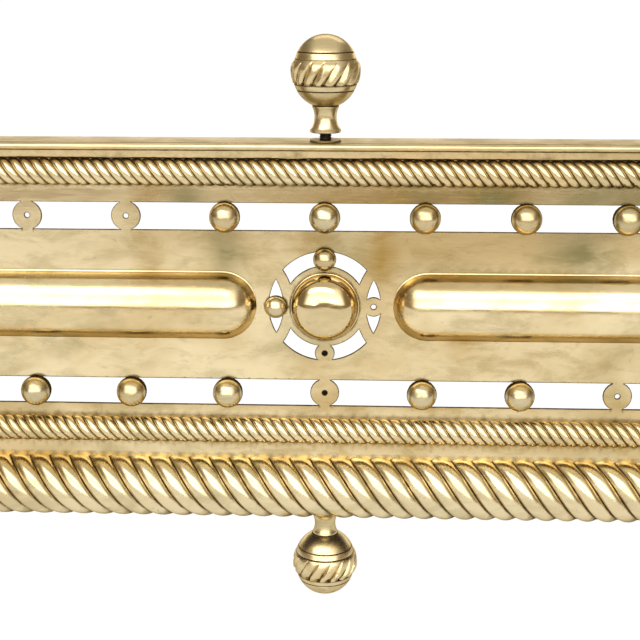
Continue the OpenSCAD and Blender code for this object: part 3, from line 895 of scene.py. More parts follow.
def sweep(run: Run, section: Sequence[Point], step: float, wave: Wave | None = None,
          open_strip: bool = False) -> Mesh:
    """Draws a section along a run, cut to the run's ends.

    Args:
        run: the run.
        section: distance in front of the face and height of each point, as a closed loop.
        step: greatest distance between two rings of points.
        wave: the shift outward and upward of a point, from its places along the run, its
            number and its distance in front of the face.
        open_strip: whether the strip from the last point to the first is left out.

    Returns:
        The mesh, still drawn along X.
    """
    count = math.ceil(2 * run.half / step) + 1
    reach = max(max(out for out, _ in section), 0.0) + SWEEP_SPARE
    whole = np.linspace(-run.half, run.half, count)
    stations = np.concatenate([[-run.half - reach], whole, [run.half + reach]])
    columns = []
    for index, (out, height) in enumerate(section):
        outs, heights = np.full(len(stations), out), np.full(len(stations), height)
        if wave:
            more_out, more_up = wave(stations, index, out)
            outs, heights = outs + more_out, heights + more_up
        columns.append(np.stack([run.clamp(stations, outs), -outs, heights], 1))
    points = np.stack(columns, 1).reshape(-1, 3)
    size = len(section)
    faces = grid_faces(len(stations), size, wrap_columns=not open_strip)
    faces += [tuple(range(size)), tuple(reversed(range(len(points) - size, len(points))))]
    mesh = new_mesh("sweep", points, faces)
    outward(mesh)
    return mesh


def slow_wave(x: np.ndarray, seed: float, lengths: Sequence[float]) -> np.ndarray:
    """A wave of a few lengths laid over each other, from about -1 to 1.

    Args:
        x: places along it, in metres.
        seed: tells one wave from another.
        lengths: the wave lengths, in metres.

    Returns:
        The wave's height at each place.
    """
    total = np.zeros_like(x)
    for order, length in enumerate(lengths):
        phase = 12.9898 * (seed + 1.7 * order)
        total += np.sin(2 * math.pi * x / length + phase) * math.cos(0.5 * phase + order)
    return total / len(lengths)


# ---- ropes


@dataclass(frozen=True)
class RopeSize:
    """One size of rope.

    Fields are its strands' spacing and the depth of the groove between them,
    the mesh steps across a strand and round the moulding, and how uneven the
    casting is.
    """

    spacing: float
    groove: float
    across: int
    around: int
    uneven: float


BIG_ROPE = RopeSize(spacing=10.9 * MM, groove=2.5 * MM, across=14, around=26, uneven=0.25 * MM)
NARROW_ROPE = RopeSize(spacing=5.4 * MM, groove=1.3 * MM, across=8, around=16, uneven=0.16 * MM)


@dataclass(frozen=True)
class RopeMoulding:
    """A half-round moulding of twisted strands on one run.

    The strands wind round as far as twist says and lean by shear besides.
    Angles round the moulding go from its upper foot to its lower one. The
    other fields say how the grooves fade at the upper foot and where tarnish
    and painted shade darken the grooves, the feet and the underside.
    """

    node: str
    run: Run
    section: Section
    size: RopeSize
    twist: float = 0.42
    shear: float = 0.15
    fade: float = 0.35
    fade_angle: float = 0.5
    groove_edge: float = 4.5
    # How much tarnish and painted shade the feet and the underside take.
    upper_foot: float = 0.3
    lower_foot: float = 0.7
    foot_angle: float = 0.2
    under: float = 0.72
    under_angle: float = 1.75

    @property
    def pitch(self) -> float:
        """The strands' spacing, fitted to the run's length."""
        return self.run.half / round(self.run.half / self.size.spacing)

    def tarnish(self, steps: np.ndarray, angles: np.ndarray) -> np.ndarray:
        """How much tarnish and painted shade a strand takes.

        Args:
            steps: places across the strand, from -0.5 to 0.5.
            angles: places round the moulding.

        Returns:
            The tarnish and painted shade at each place: tarnish in the grooves, tarnish and painted shade at
            the feet, and painted shade underneath.
        """
        groove = np.abs(2 * steps) ** self.groove_edge
        level = np.where(angles < 1, self.upper_foot, self.lower_foot)
        # Tarnish and painted shade where the rope meets the sheet at its feet.
        foot = level * np.clip(1 - np.minimum(angles, math.pi - angles) / self.foot_angle, 0, 1) ** 2
        # Painted shade on the rope's underside.
        under = self.under * np.clip(angles - self.under_angle, 0, 1) ** 1.3
        return np.maximum(np.maximum(groove, foot), under + 0.35 * groove)

    def strand(self) -> Mesh:
        """One strand in the middle of the run with its tarnish and painted shade, open where the next ones
        join it.
        """
        size, section, high = self.size, self.section, self.section.half_height
        width = self.pitch * math.cos(math.atan(self.twist + self.shear / 2))
        crown = (width * width / 4 + size.groove * size.groove) / (2 * size.groove)
        steps, angles = np.meshgrid(np.linspace(-0.5, 0.5, size.across + 1),
                                    np.linspace(0.0, math.pi, size.around + 1))
        depth = crown - np.sqrt(crown * crown - (steps * width) ** 2)
        depth *= 1 - self.fade * np.clip(1 - angles / self.fade_angle, 0, 1)
        out_part, up_part = np.sin(angles) / section.proud, np.cos(angles) / high
        length = np.hypot(out_part, up_part)
        out = (section.proud - 0.25 * size.uneven) * np.sin(angles) - depth * out_part / length
        up = high * np.cos(angles) - depth * up_part / length
        wound = self.twist * (angles - math.pi / 2) - self.shear * np.cos(angles)
        along = steps * self.pitch + high * wound
        columns = size.across + 1
        last = size.around * columns
        faces = grid_faces(size.around + 1, columns)
        faces += [(j + 1, j, last + j, last + j + 1) for j in range(size.across)]
        mesh = new_mesh("strand", np.stack([along, -out, up + section.mid], 2).reshape(-1, 3), faces)
        set_attribute(mesh, "crevice", self.tarnish(steps, angles).ravel())
        return mesh

    def build(self, shop: Workshop) -> Item:
        """Makes the moulding.

        Args:
            shop: the patterns and materials.

        Returns:
            The finished piece.
        """
        section, pitch = self.section, self.pitch
        reach = self.run.half + section.proud + (section.high - section.low) * (self.twist + self.shear)
        side_count = math.ceil(reach / pitch) + 1
        mesh = shop.repeat(self.strand(), shop.patterns.strand_run, "rope_brass", Count=2 * side_count + 1,
                           Pitch=pitch, Start=-side_count * pitch, Wobble=self.size.uneven,
                           Fineness=0.35 / pitch)
        self.run.cut(mesh)
        return shop.hand_over(mesh, self.node, "twist", "rope_brass", 50.0, self.run.place)


# ---- outlines


def circle_loop(x: float, z: float, radius: float, count: int) -> Loop:
    """A round hole's outline, anticlockwise."""
    return on_circle((x, z), radius, (2 * math.pi * i / count for i in range(count)))


def arc_to(centre: Point, start: Point, end: Point, count: int) -> Loop:
    """Points on the shorter arc from start to end about a centre, both included, in count steps.

    Args:
        centre: the arc's centre.
        start: its first point.
        end: its last point.
        count: how many steps.

    Returns:
        The points.
    """
    radius = math.dist(centre, start)
    first = math.atan2(start[1] - centre[1], start[0] - centre[0])
    turn = math.atan2(end[1] - centre[1], end[0] - centre[0]) - first
    turn = (turn + math.pi) % (2 * math.pi) - math.pi
    return on_circle(centre, radius, (first + turn * i / count for i in range(count + 1)))


def meet(first: Point, first_r: float, second: Point, second_r: float, side: int) -> Point:
    """One of the two points where two circles meet.

    Args:
        first: the first circle's centre.
        first_r: its radius.
        second: the second circle's centre.
        second_r: its radius.
        side: 1 for the point left of the line between the centres, -1 for the other.

    Returns:
        The point.
    """
    dx, dz = second[0] - first[0], second[1] - first[1]
    gap = math.hypot(dx, dz)
    along = (gap * gap + first_r * first_r - second_r * second_r) / (2 * gap)
    off = side * math.sqrt(max(first_r * first_r - along * along, 0.0))
    return (first[0] + (along * dx - off * dz) / gap, first[1] + (along * dz + off * dx) / gap)


def sides(loop: Loop) -> Iterable[tuple[Point, Point]]:
    """The two ends of each side of a loop."""
    return zip(loop, loop[1:] + loop[:1])


def tidy_loop(points: Loop, step: float) -> Loop:
    """Drops a loop's doubled points, splits its sides to a longest step and turns it anticlockwise.

    Args:
        points: the loop.
        step: the longest side that is kept whole.

    Returns:
        The tidied loop.
    """
    kept: Loop = []
    for point in points:
        if not kept or math.dist(kept[-1], point) > 1e-6:
            kept.append(point)
    if math.dist(kept[0], kept[-1]) < 1e-6:
        kept.pop()
    if sum(a[0] * b[1] - b[0] * a[1] for a, b in sides(kept)) < 0:
        kept.reverse()
    split: Loop = []
    for a, b in sides(kept):
        parts = max(1, math.ceil(math.dist(a, b) / step))
        split += [(a[0] + (b[0] - a[0]) * i / parts, a[1] + (b[1] - a[1]) * i / parts) for i in range(parts)]
    return split


def widen(loop: Loop, amount: float) -> Loop:
    """Moves the sides of an anticlockwise loop outward.

    Args:
        loop: the loop.
        amount: how far each side moves.

    Returns:
        The wider loop.
    """
    points = np.array(loop)
    ahead = np.roll(points, -1, 0) - points
    ahead /= np.linalg.norm(ahead, axis=1)[:, None]
    normal = np.stack([ahead[:, 1], -ahead[:, 0]], 1)
    both = normal + np.roll(normal, 1, 0)
    both /= np.maximum((both * both).sum(1) / 2, 0.35)[:, None]
    return [tuple(p) for p in points + amount * both]


def inside(points: np.ndarray, loop: Loop) -> np.ndarray:
    """Which points, one in each row, lie inside a loop.

    Args:
        points: the points.
        loop: the loop.

    Returns:
        True for each point inside.
    """
    result = np.zeros(len(points), bool)
    x, z = points[:, 0], points[:, 1]
    for (ax, az), (bx, bz) in sides(loop):
        if az != bz:
            crosses = (az > z) != (bz > z)
            result ^= crosses & (x < (bx - ax) * (z - az) / (bz - az) + ax)
    return result


def clear_of(points: np.ndarray, frame: Loop, loops: Sequence[Loop]) -> np.ndarray:
    """Which points lie inside a frame and outside every loop in it.

    Args:
        points: the points.
        frame: the outer loop.
        loops: the loops in it.

    Returns:
        True for each such point.
    """
    clear = inside(points, frame)
    for loop in loops:
        box = np.array(loop)
        close = clear & np.all((points > box.min(0)) & (points < box.max(0)), axis=1)
        clear[close] = ~inside(points[close], loop)
    return clear


def thin_out(spare: np.ndarray, fixed: np.ndarray, least: float) -> list[np.ndarray]:
    """Drops spare points that are too near a fixed one or each other.

    Args:
        spare: the points to thin out.
        fixed: the points that stay.
        least: the least distance.

    Returns:
        The spare points that are kept.
    """
    kept: list[np.ndarray] = []
    cells: dict[tuple[int, int], list[np.ndarray]] = {}

    def cell(point: np.ndarray) -> tuple[int, int]:
        """The square millimetre that a point lies in."""
        return int(point[0] // MM), int(point[1] // MM)

    for point in fixed:
        cells.setdefault(cell(point), []).append(point)
    for point in spare:
        column, row = cell(point)
        around = [(column + i, row + j) for i in (-1, 0, 1) for j in (-1, 0, 1)]
        if all(math.dist(point, other) >= least for spot in around for other in cells.get(spot, ())):
            kept.append(point)
            cells.setdefault((column, row), []).append(point)
    return kept


# ---- pierced sheet


@dataclass(frozen=True)
class Smudge:
    """A soft patch of tarnish and painted reflection on a sheet, in millimetres from its middle.

    Fields are its place, its half sizes and how brown and how olive it is.
    """

    x: float
    z: float
    wide: float
    high: float
    brown: float = 0.0
    olive: float = 0.0

    def spread(self, x: np.ndarray, z: np.ndarray) -> np.ndarray:
        """How much of it lies at each place, from 0 to 1."""
        return np.exp(-((x / MM - self.x) / self.wide) ** 2 - ((z / MM - self.z) / self.high) ** 2)


# Patches of tarnish and painted reflections of nearby things on the front sheet.
FRONT_SMUDGES_AND_REFLECTIONS = (
    Smudge(-52, 30, 9, 16, olive=1.0), Smudge(-93, 30, 8, 14, brown=0.4), Smudge(-8, 34, 16, 8, brown=0.35),
    Smudge(31, 28, 9, 15, brown=0.9), Smudge(10, 31, 10, 10, olive=0.35), Smudge(60, 34, 100, 16, brown=0.3),
    Smudge(118, 30, 9, 10, olive=0.4), Smudge(134, 32, 13, 15, olive=0.95),
    Smudge(72, -19, 10, 8, brown=0.5), Smudge(-50, -18, 9, 8, brown=0.45), Smudge(-8, -32, 11, 7, brown=0.55),
    Smudge(120, -30, 100, 16, brown=0.3),
    Smudge(-93, 57, 9, 8, brown=0.6), Smudge(-72, 57, 10, 8, olive=1.0), Smudge(20, 58, 62, 9, brown=0.75),
    Smudge(51, 58, 12, 8, olive=0.6), Smudge(88, 58, 15, 8, brown=0.8, olive=1.0),
    Smudge(130, 58, 14, 8, olive=0.6), Smudge(155, 58, 14, 9, olive=0.8),
    Smudge(-93, -52, 9, 5, olive=0.9), Smudge(52, -52, 9, 5, brown=0.9), Smudge(0, -53, 260, 6, brown=0.55),
    Smudge(60, -73, 150, 8, brown=1.0),
    Smudge(-320, 10, 60, 30, olive=0.6), Smudge(330, -5, 70, 26, brown=0.5),
)
# Patches of tarnish and painted reflections on the side sheets.
SIDE_SMUDGES_AND_REFLECTIONS = (
    Smudge(-60, 24, 30, 14, olive=0.7), Smudge(45, 30, 22, 12, brown=0.6), Smudge(10, 57, 60, 8, brown=0.7),
    Smudge(80, -24, 30, 14, olive=0.5), Smudge(-20, -73, 90, 8, brown=0.6),
)


@dataclass(frozen=True)
class StudPlan:
    """Where the studs of a run sit, counted from its middle, and which are lost."""

    lost_lower: tuple[int, ...] = ()
    lost_upper: tuple[int, ...] = ()
    pitch: float = 52 * MM
    margin: float = 35 * MM

    def side_count(self, run: Run) -> int:
        """How many studs stand on each side of the middle one."""
        return math.floor((run.half - self.margin) / self.pitch)


FRONT_PLAN = StudPlan(lost_lower=(0, 3), lost_upper=(-3, -2))
SIDE_PLAN = StudPlan()


@dataclass(frozen=True)
class Rosette:
    """The pierced ring in the middle of the front, with its sizes in metres."""

    ring_r: float = 29.5 * MM
    inner_r: float = 21.9 * MM
    lens_shift: float = 51.5 * MM
    bar_w: float = 6 * MM
    tab_r: float = 5.3 * MM

    @property
    def stud_ring_r(self) -> float:
        """Radius of the circle on which its small studs sit."""
        return self.lens_shift / 2

    def quarter(self) -> list[Loop]:
        """The arc slot and the half lens of the upper right quarter."""
        middle, far = (0.0, 0.0), (self.lens_shift, 0.0)
        top, right = (0.0, self.stud_ring_r), (self.stud_ring_r, 0.0)
        bar_r = self.ring_r + self.bar_w
        outer_bar = meet(middle, self.ring_r, far, bar_r, 1)
        outer_tab = meet(middle, self.ring_r, top, self.tab_r, -1)
        inner_tab = meet(middle, self.inner_r, top, self.tab_r, -1)
        inner_bar = meet(middle, self.inner_r, far, bar_r, 1)
        slot = (arc_to(middle, outer_bar, outer_tab, 12) + arc_to(top, outer_tab, inner_tab, 8)
                + arc_to(middle, inner_tab, inner_bar, 8) + arc_to(far, inner_bar, outer_bar, 8))
        tip = meet(middle, self.ring_r, far, self.ring_r, 1)
        near_edge = meet(far, self.ring_r, right, self.tab_r, -1)
        far_edge = meet(middle, self.ring_r, right, self.tab_r, 1)
        lens = (arc_to(middle, far_edge, tip, 8) + arc_to(far, tip, near_edge, 8)
                + arc_to(right, near_edge, far_edge, 6))
        return [slot, lens]

    def loops(self, mid_z: float) -> list[Loop]:
        """Every opening of the ring, about the middle of the run at a height."""
        return [[(sx * x, mid_z + sz * z) for x, z in loop]
                for loop in self.quarter() for sx in (-1, 1) for sz in (-1, 1)]


@dataclass(frozen=True)
class Pillow:
    """An embossed pillow: a round bar with ball ends that stands half out of the sheet."""

    start: float
    end: float
    mid_z: float
    radius: float = 19 * MM
    sink: float = 6 * MM
    fillet: float = 0.9 * MM
    dome_steps: int = 14
    fillet_steps: int = 6
    end_steps: int = 22
    side_step: float = 7 * MM

    @property
    def rim_r(self) -> float:
        """Half the pillow's width where its fillet meets the sheet."""
        return math.sqrt((self.radius + self.fillet) ** 2 - (self.sink + self.fillet) ** 2)

    @property
    def spine_ends(self) -> Point:
        """Where the pillow's straight part starts and ends along X."""
        return self.start + self.rim_r, self.end - self.rim_r

    def spine(self) -> list[Point]:
        """Spine place and direction of each point of the rim, anticlockwise."""
        low, high = self.spine_ends
        stations = np.linspace(low, high, math.ceil((high - low) / self.side_step) + 1)[1:-1]
        turns = [math.pi * i / self.end_steps for i in range(self.end_steps + 1)]
        around = [(high, -math.pi / 2 + turn) for turn in turns]
        around += [(x, math.pi / 2) for x in stations[::-1]]
        around += [(low, math.pi / 2 + turn) for turn in turns]
        return around + [(x, 3 * math.pi / 2) for x in stations]

    def profile(self, thickness: float) -> list[Point]:
        """Distance from the spine and height over the face, from the rim to the crest.

        Args:
            thickness: how far below the outer surface.

        Returns:
            The profile's points.
        """
        lean = math.acos(-(self.sink + self.fillet) / (self.radius + self.fillet)) - math.pi / 2
        reach = self.fillet + thickness
        points = []
        for i in range(self.fillet_steps):
            turn = (math.pi / 2 - lean) * i / self.fillet_steps
            points.append((self.rim_r - reach * math.sin(turn), self.fillet - reach * math.cos(turn)))
        rise = math.atan2(self.sink + self.fillet, self.rim_r)
        reach = self.radius - thickness
        for i in range(self.dome_steps):
            angle = rise + (math.pi / 2 - rise) * i / self.dome_steps
            points.append((reach * math.cos(angle), reach * math.sin(angle) - self.sink))
        return points + [(0.0, reach - self.sink)]

    def rim(self) -> Loop:
        """The outline that the pillow leaves in the flat sheet."""
        return [(x + self.rim_r * math.cos(a), self.mid_z + self.rim_r * math.sin(a))
                for x, a in self.spine()]

    def shell(self, thickness: float) -> tuple[np.ndarray, Faces]:
        """Corners and faces of one face of the pillow's wall, so far below the outer surface."""
        around = self.spine()
        rows = [[(x + reach * math.cos(a), -height, self.mid_z + reach * math.sin(a)) for x, a in around]
                for reach, height in self.profile(thickness)]
        return np.array(rows).reshape(-1, 3), grid_faces(len(rows), len(around), wrap_columns=True)


@dataclass(frozen=True)
class PiercedSheet:
    """The brass sheet of one run, with slots, pillows and folded edges.

    Fields are where it goes and what it carries, then its sizes, then where
    spare points of the mesh lie off the ropes, studs, pillows and openings.
    """

    node: str
    run: Run
    studs: StudPlan
    base_top: float
    top: float
    slot_rows: Point
    rope_edges: tuple[float, ...]
    pillows: tuple[Pillow, ...]
    rosette: Rosette | None
    smudges: tuple[Smudge, ...]
    boss_r: float = 18.4 * MM
    stud_r: float = 8 * MM
    ring_stud_r: float = 5.9 * MM
    thickness: float = 1.2 * MM
    bend: float = 2.0 * MM
    flange: float = 17 * MM
    slot_h: float = 14.4 * MM
    tab_r: float = 7.8 * MM
    slot_end_margin: float = 16 * MM
    pin_hole_r: float = 1.35 * MM
    edge: float = 0.18 * MM
    grid: float = 7 * MM
    sway: float = 0.16 * MM
    still_margin: float = 12 * MM
    off_ropes: tuple[float, ...] = (-3.4 * MM, -0.9 * MM, 0.9 * MM, 3.4 * MM)
    off_studs: tuple[float, ...] = (0.3 * MM, 1.1 * MM, 2.4 * MM)
    off_pillows: tuple[float, ...] = (1.2 * MM, 3 * MM)
    off_openings: tuple[float, ...] = (0.85 * MM, 1.7 * MM)
    least_gap: float = 0.6 * MM

    @property
    def mid_z(self) -> float:
        """Height of the middle of the field."""
        return sum(self.slot_rows) / 2

    @property
    def flat(self) -> Point:
        """Heights between which the sheet is flat."""
        return self.base_top + self.bend, self.top - self.bend

    def slot_loops(self) -> list[Loop]:
        """Outlines of the slots between the tabs that carry the studs."""
        count, half_h = self.studs.side_count(self.run), self.slot_h / 2
        side = math.sqrt(self.tab_r ** 2 - half_h ** 2)
        end = self.run.half - self.slot_end_margin
        tabs = [i * self.studs.pitch for i in range(-count, count + 1)]
        loops = []
        for z in self.slot_rows:
            rights = [arc_to((x, z), (x - side, z - half_h), (x - side, z + half_h), 8) for x in tabs]
            lefts = [arc_to((x, z), (x + side, z + half_h), (x + side, z - half_h), 8) for x in tabs]
            lefts.insert(0, [(-end, z + half_h), (-end, z - half_h)])
            rights.append([(end, z - half_h), (end, z + half_h)])
            loops += [left + right for left, right in zip(lefts, rights)]
        return loops

    def pin_loops(self) -> list[Loop]:
        """Pin holes that lost studs have left."""
        lower, upper = self.slot_rows
        places = [(i * self.studs.pitch, upper) for i in self.studs.lost_upper]
        places += [(i * self.studs.pitch, lower) for i in self.studs.lost_lower]
        if self.rosette:
            reach = self.rosette.stud_ring_r
            places += [(reach, self.mid_z), (0.0, self.mid_z - reach)]
        return [circle_loop(x, z, self.pin_hole_r, 14) for x, z in places]

    @cached_property
    def openings(self) -> list[Loop]:
        """Every opening with a cut edge."""
        loops = self.slot_loops() + self.pin_loops()
        if self.rosette:
            loops += self.rosette.loops(self.mid_z)
        return [tidy_loop(loop, 2.5 * MM) for loop in loops]

    def stud_places(self) -> list[tuple[float, float, float]]:
        """Place and radius of whatever stands on the sheet."""
        count = self.studs.side_count(self.run)
        rows = zip(self.slot_rows, (self.studs.lost_lower, self.studs.lost_upper))
        places = [(i * self.studs.pitch, z, self.stud_r)
                  for z, lost in rows for i in range(-count, count + 1) if i not in lost]
        if self.rosette:
            reach, mid_z = self.rosette.stud_ring_r, self.mid_z
            places += [(0.0, mid_z, self.boss_r), (0.0, mid_z + reach, self.ring_stud_r),
                       (-reach, mid_z, self.ring_stud_r)]
        return places

    def spare_points(self) -> np.ndarray:
        """Points inside the sheet that let it sway and take tarnish and painted shade."""
        low, high = self.flat
        xs = np.arange(-self.run.half + self.grid, self.run.half - self.grid / 2, self.grid)
        zs = np.arange(low + self.grid, high - self.grid / 2, self.grid)
        points = [np.stack(np.meshgrid(xs, zs), -1).reshape(-1, 2)]
        points += [np.stack([xs + self.grid / 2, np.full(len(xs), z + off)], 1)
                   for z in self.rope_edges for off in self.off_ropes]
        points += [np.array(circle_loop(x, z, r + off, 28 if r == self.boss_r else 18))
                   for x, z, r in self.stud_places() for off in self.off_studs]
        points += [np.array(widen(pillow.rim(), off)) for pillow in self.pillows for off in self.off_pillows]
        points += [np.array(widen(loop, off)) for loop in self.openings for off in self.off_openings]
        return np.concatenate(points)

    def flat_face(self, loops: list[Loop], frame: Loop) -> tuple[np.ndarray, np.ndarray]:
        """Triangles over the flat sheet between its openings.

        Args:
            loops: the openings as they are on this face.
            frame: the sheet's outer edge.

        Returns:
            The corners and the triangles.
        """
        fixed = np.concatenate([np.array(loop) for loop in (frame, *loops)])
        edges, start = [], 0
        for loop in (frame, *loops):
            size = len(loop)
            edges += [(start + i, start + (i + 1) % size) for i in range(size)]
            start += size
        spare = self.spare_points()
        kept = thin_out(spare[clear_of(spare, frame, loops)], fixed, self.least_gap)
        verts = [Vector((float(x), float(z))) for x, z in (*fixed, *kept)]
        out, _, tris, *_ = delaunay_2d_cdt(verts, edges, [], 0, 1e-8)
        corners = np.array([(v.x, v.y) for v in out])
        tris = np.array([t for t in tris if len(t) == 3])
        return corners, tris[clear_of(corners[tris].mean(1), frame, loops)]

    def fold(self, z: float, sign: int) -> Mesh:
        """A folded edge of the sheet, open where it joins the flat part.

        Args:
            z: height of the fold's outer face.
            sign: 1 for the bottom edge and -1 for the top edge.

        Returns:
            The fold.
        """
        bend, wall = self.bend, self.thickness
        quarter = math.pi / 2
        outer, inner = (
            [(reach * math.cos(a) - bend, z + sign * (bend - reach * math.sin(a))) for a in angles]
            for reach, angles in (
                (bend, np.linspace(0, quarter, 6)), (bend - wall, np.linspace(quarter, 0, 4))))
        section = outer + [(-self.flange, z), (-self.flange, z + sign * wall)] + inner
        return sweep(self.run, section, self.grid, open_strip=True)

    def faces(self) -> list[Mesh]:
        """The flat sheet's two faces, with the edges of its openings and its ends."""
        run, wall, (low, high) = self.run, self.thickness, self.flat
        xs = np.linspace(-run.half, run.half, math.ceil(2 * run.half / self.grid) + 1)
        zs = np.linspace(low, high, int((high - low) / self.grid))
        frame = ([(x, low) for x in xs[:-1]] + [(run.half, z) for z in zs[:-1]]
                 + [(x, high) for x in xs[::-1][:-1]] + [(-run.half, z) for z in zs[::-1][:-1]])
        wide = [widen(loop, self.edge) for loop in self.openings]
        corners, tris = self.flat_face(wide + [pillow.rim() for pillow in self.pillows], frame)
        meshes = []
        for depth, order in ((0.0, 1), (wall, -1)):
            x = run.clamp(corners[:, 0], -depth)
            points = np.stack([x, np.full(len(corners), depth), corners[:, 1]], 1)
            meshes.append(new_mesh("face", points, tris[:, ::order]))
        for loop, wider in zip(self.openings, wide):
            rings = [[(x, y, z) for x, z in ring] for ring, y in
                     ((wider, 0.0), (loop, self.edge), (loop, wall - self.edge), (wider, wall))]
            cut = grid_faces(len(rings), len(loop), wrap_columns=True)
            meshes.append(new_mesh("cut", np.array(rings).reshape(-1, 3), cut))
        for end in (-run.half, run.half):
            rim = [(run.clamp(end, -y), y, z) for y in (0.0, wall) for z in zs]
            meshes.append(new_mesh("end", np.array(rim), grid_faces(2, len(zs))))
        return meshes

    def build(self, shop: Workshop) -> Item:
        """Makes the sheet.

        Args:
            shop: the patterns and materials.

        Returns:
            The finished piece.
        """
        meshes = self.faces()
        meshes += [new_mesh("pillow", *pillow.shell(depth))
                   for pillow in self.pillows for depth in (0.0, self.thickness)]
        mesh = join([*meshes, self.fold(self.base_top, 1), self.fold(self.top, -1)])
        outward(mesh, 2 * FACE_MERGE)
        self.weather(mesh)
        return shop.hand_over(mesh, self.node, "sheet", "sheet_brass", 38.0, self.run.place)

    def weather(self, mesh: Mesh) -> None:
        """Lets the flat sheet sway a little and marks tarnish and painted shade along the ropes, round the
        studs and pillows and at the cut edges.

        Args:
            mesh: the sheet, still drawn along X.
        """
        points = np.zeros(len(mesh.vertices) * 3, np.float32)
        mesh.vertices.foreach_get("co", points)
        points = points.reshape(-1, 3)
        x, z = points[:, 0], points[:, 2]
        low, high = self.flat
        fade = np.clip((z - low) / self.still_margin, 0, 1) * np.clip((high - z) / self.still_margin, 0, 1)
        fade *= np.clip((self.run.half - np.abs(x)) / self.still_margin, 0, 1)
        sway = slow_wave(x + 0.35 * z, 1.0, (0.171, 0.083, 0.231))
        sway += 0.7 * slow_wave(z - 0.2 * x, 2.0, (0.067, 0.041))
        points[:, 1] += self.sway * fade * sway
        # Tarnish and painted shade along the ropes' edges, in a narrow and a broad band.
        dirt_and_shade = [near(np.abs(z - edge), 1.2 * MM, 0.75) + near(np.abs(z - edge), 4.5 * MM, 0.38)
                for edge in self.rope_edges]
        # Tarnish and painted shade round each stud and the boss.
        dirt_and_shade += [near(np.hypot(x - at_x, z - at_z) - r, 1.1 * MM) for at_x, at_z, r in self.stud_places()]
        # Tarnish and painted shade in each pillow's fillet, and painted shade over its lower half.
        for pillow in self.pillows:
            gap = np.hypot(x - np.clip(x, *pillow.spine_ends), z - pillow.mid_z) - pillow.rim_r
            under = np.clip((pillow.mid_z - z) / pillow.rim_r, 0, 1) ** 3 * (gap < 0)
            dirt_and_shade += [near(np.abs(gap - 0.4 * MM), 0.8 * MM, 0.5), 0.3 * under]
        # Painted shade of the sheet's thickness at the edges of its openings.
        dirt_and_shade.append(near(self.gap_to_openings(x, z) - 0.25 * MM, 0.35 * MM, 0.95))
        mesh.vertices.foreach_set("co", points.ravel())
        set_attribute(mesh, "crevice", np.maximum.reduce(dirt_and_shade))
        # Patches of tarnish and painted reflection, stored as brown and olive.
        for name in SMUDGE_AND_REFLECTION_TINTS:
            spots = [getattr(spot, name) * spot.spread(x, z - self.mid_z) for spot in self.smudges]
            set_attribute(mesh, name, sum(spots))

    def gap_to_openings(self, x: np.ndarray, z: np.ndarray) -> np.ndarray:
        """How far places on the sheet are from the nearest edge of an opening.

        Args:
            x: the places along X.
            z: their heights.

        Returns:
            The gaps.
        """
        rims = [point for loop in self.openings for point in tidy_loop(loop, self.least_gap)]
        tree = kdtree.KDTree(len(rims))
        for index, (rim_x, rim_z) in enumerate(rims):
            tree.insert((rim_x, 0.0, rim_z), index)
        tree.balance()
        return np.array([tree.find((px, 0.0, pz))[2] for px, pz in zip(x, z)])


# ---- rail


@dataclass(frozen=True)
class RailNosing:
    """Fascia, quirk and round nose of the top rail on one run.

    The fascia of the front run has a small bulge in its lower edge.
    """

    node: str
    run: Run
    section: Section
    core_z: float
    fascia_h: float = 3.7 * MM
    fascia_proud: float = 3.0 * MM
    quirk: float = 0.4 * MM
    nose_h: float = 3.3 * MM
    core_proud: float = 1.6 * MM
    edge: float = 0.2 * MM
    bulge_x: float = -18 * MM
    bulge_w: float = 7 * MM
    bulge_d: float = 0.45 * MM
    droop: float = 0.28 * MM
    dent: float = 0.12 * MM

    @property
    def inner(self) -> float:
        """How far the quirk stands out."""
        return self.fascia_proud - self.quirk

    def outline(self) -> Loop:
        """The section, from the fascia's lower inner corner round the nose to the core."""
        low, high, nose_r, edge = self.section.low, self.section.high, self.nose_h / 2, self.edge
        nose_z, fascia_top = high - self.nose_h, low + self.fascia_h
        nose = arc((self.section.proud - nose_r, nose_z + nose_r), nose_r, -90, 90, 11)
        return [(0.0, low), (self.fascia_proud - edge, low), (self.fascia_proud, low + edge),
                (self.fascia_proud, fascia_top - edge), (self.inner, fascia_top), (self.inner, nose_z), *nose,
                (self.core_proud + 4 * edge, high), (self.core_proud, high - edge / 2),
                (self.core_proud, self.core_z), (0.0, self.core_z)]

    def wave(self, x: np.ndarray, index: int, out: float) -> tuple[np.ndarray, np.ndarray]:
        """Bends the fascia's lower edge and dents the nose a little.

        Args:
            x: places along the run.
            index: the point's number in the section.
            out: how far it stands out.

        Returns:
            Its shift outward and upward.
        """
        if index < 3:
            drop = self.droop * slow_wave(x, 3.0, (0.19, 0.057, 0.031))
            if self.run.side is Side.FRONT:
                drop -= self.bulge_d * np.exp(-((x - self.bulge_x) / self.bulge_w) ** 2)
            return np.zeros_like(x), drop
        if out > self.fascia_proud:
            share = (out - self.fascia_proud) / (self.section.proud - self.fascia_proud)
            dent = -self.dent * np.abs(slow_wave(x, 5.0, (0.11, 0.023, 0.043)))
            return share * dent, self.dent / 2 * slow_wave(x, 6.0, (0.07, 0.03))
        return np.zeros_like(x), np.zeros_like(x)

    def build(self, shop: Workshop) -> Item:
        """Makes the nosing.

        Args:
            shop: the patterns and materials.

        Returns:
            The finished piece.
        """
        mesh = sweep(self.run, self.outline(), 3 * MM, self.wave)
        points = np.array([v.co for v in mesh.vertices])
        out, height, low = -points[:, 1], points[:, 2], self.section.low
        quirk_gap = np.hypot(np.maximum(out - self.inner, 0), height - (low + self.fascia_h + self.quirk / 2))
        seam_gap = np.hypot(out - self.core_proud, height - self.section.high)
        set_attribute(mesh, "crevice", np.maximum.reduce([
            near(quirk_gap, 0.9 * MM), near(seam_gap, 0.8 * MM), near(height - low, 0.5 * MM, 0.7)]))
        return shop.hand_over(mesh, self.node, "moulding", "rail_brass", 35.0, self.run.place)


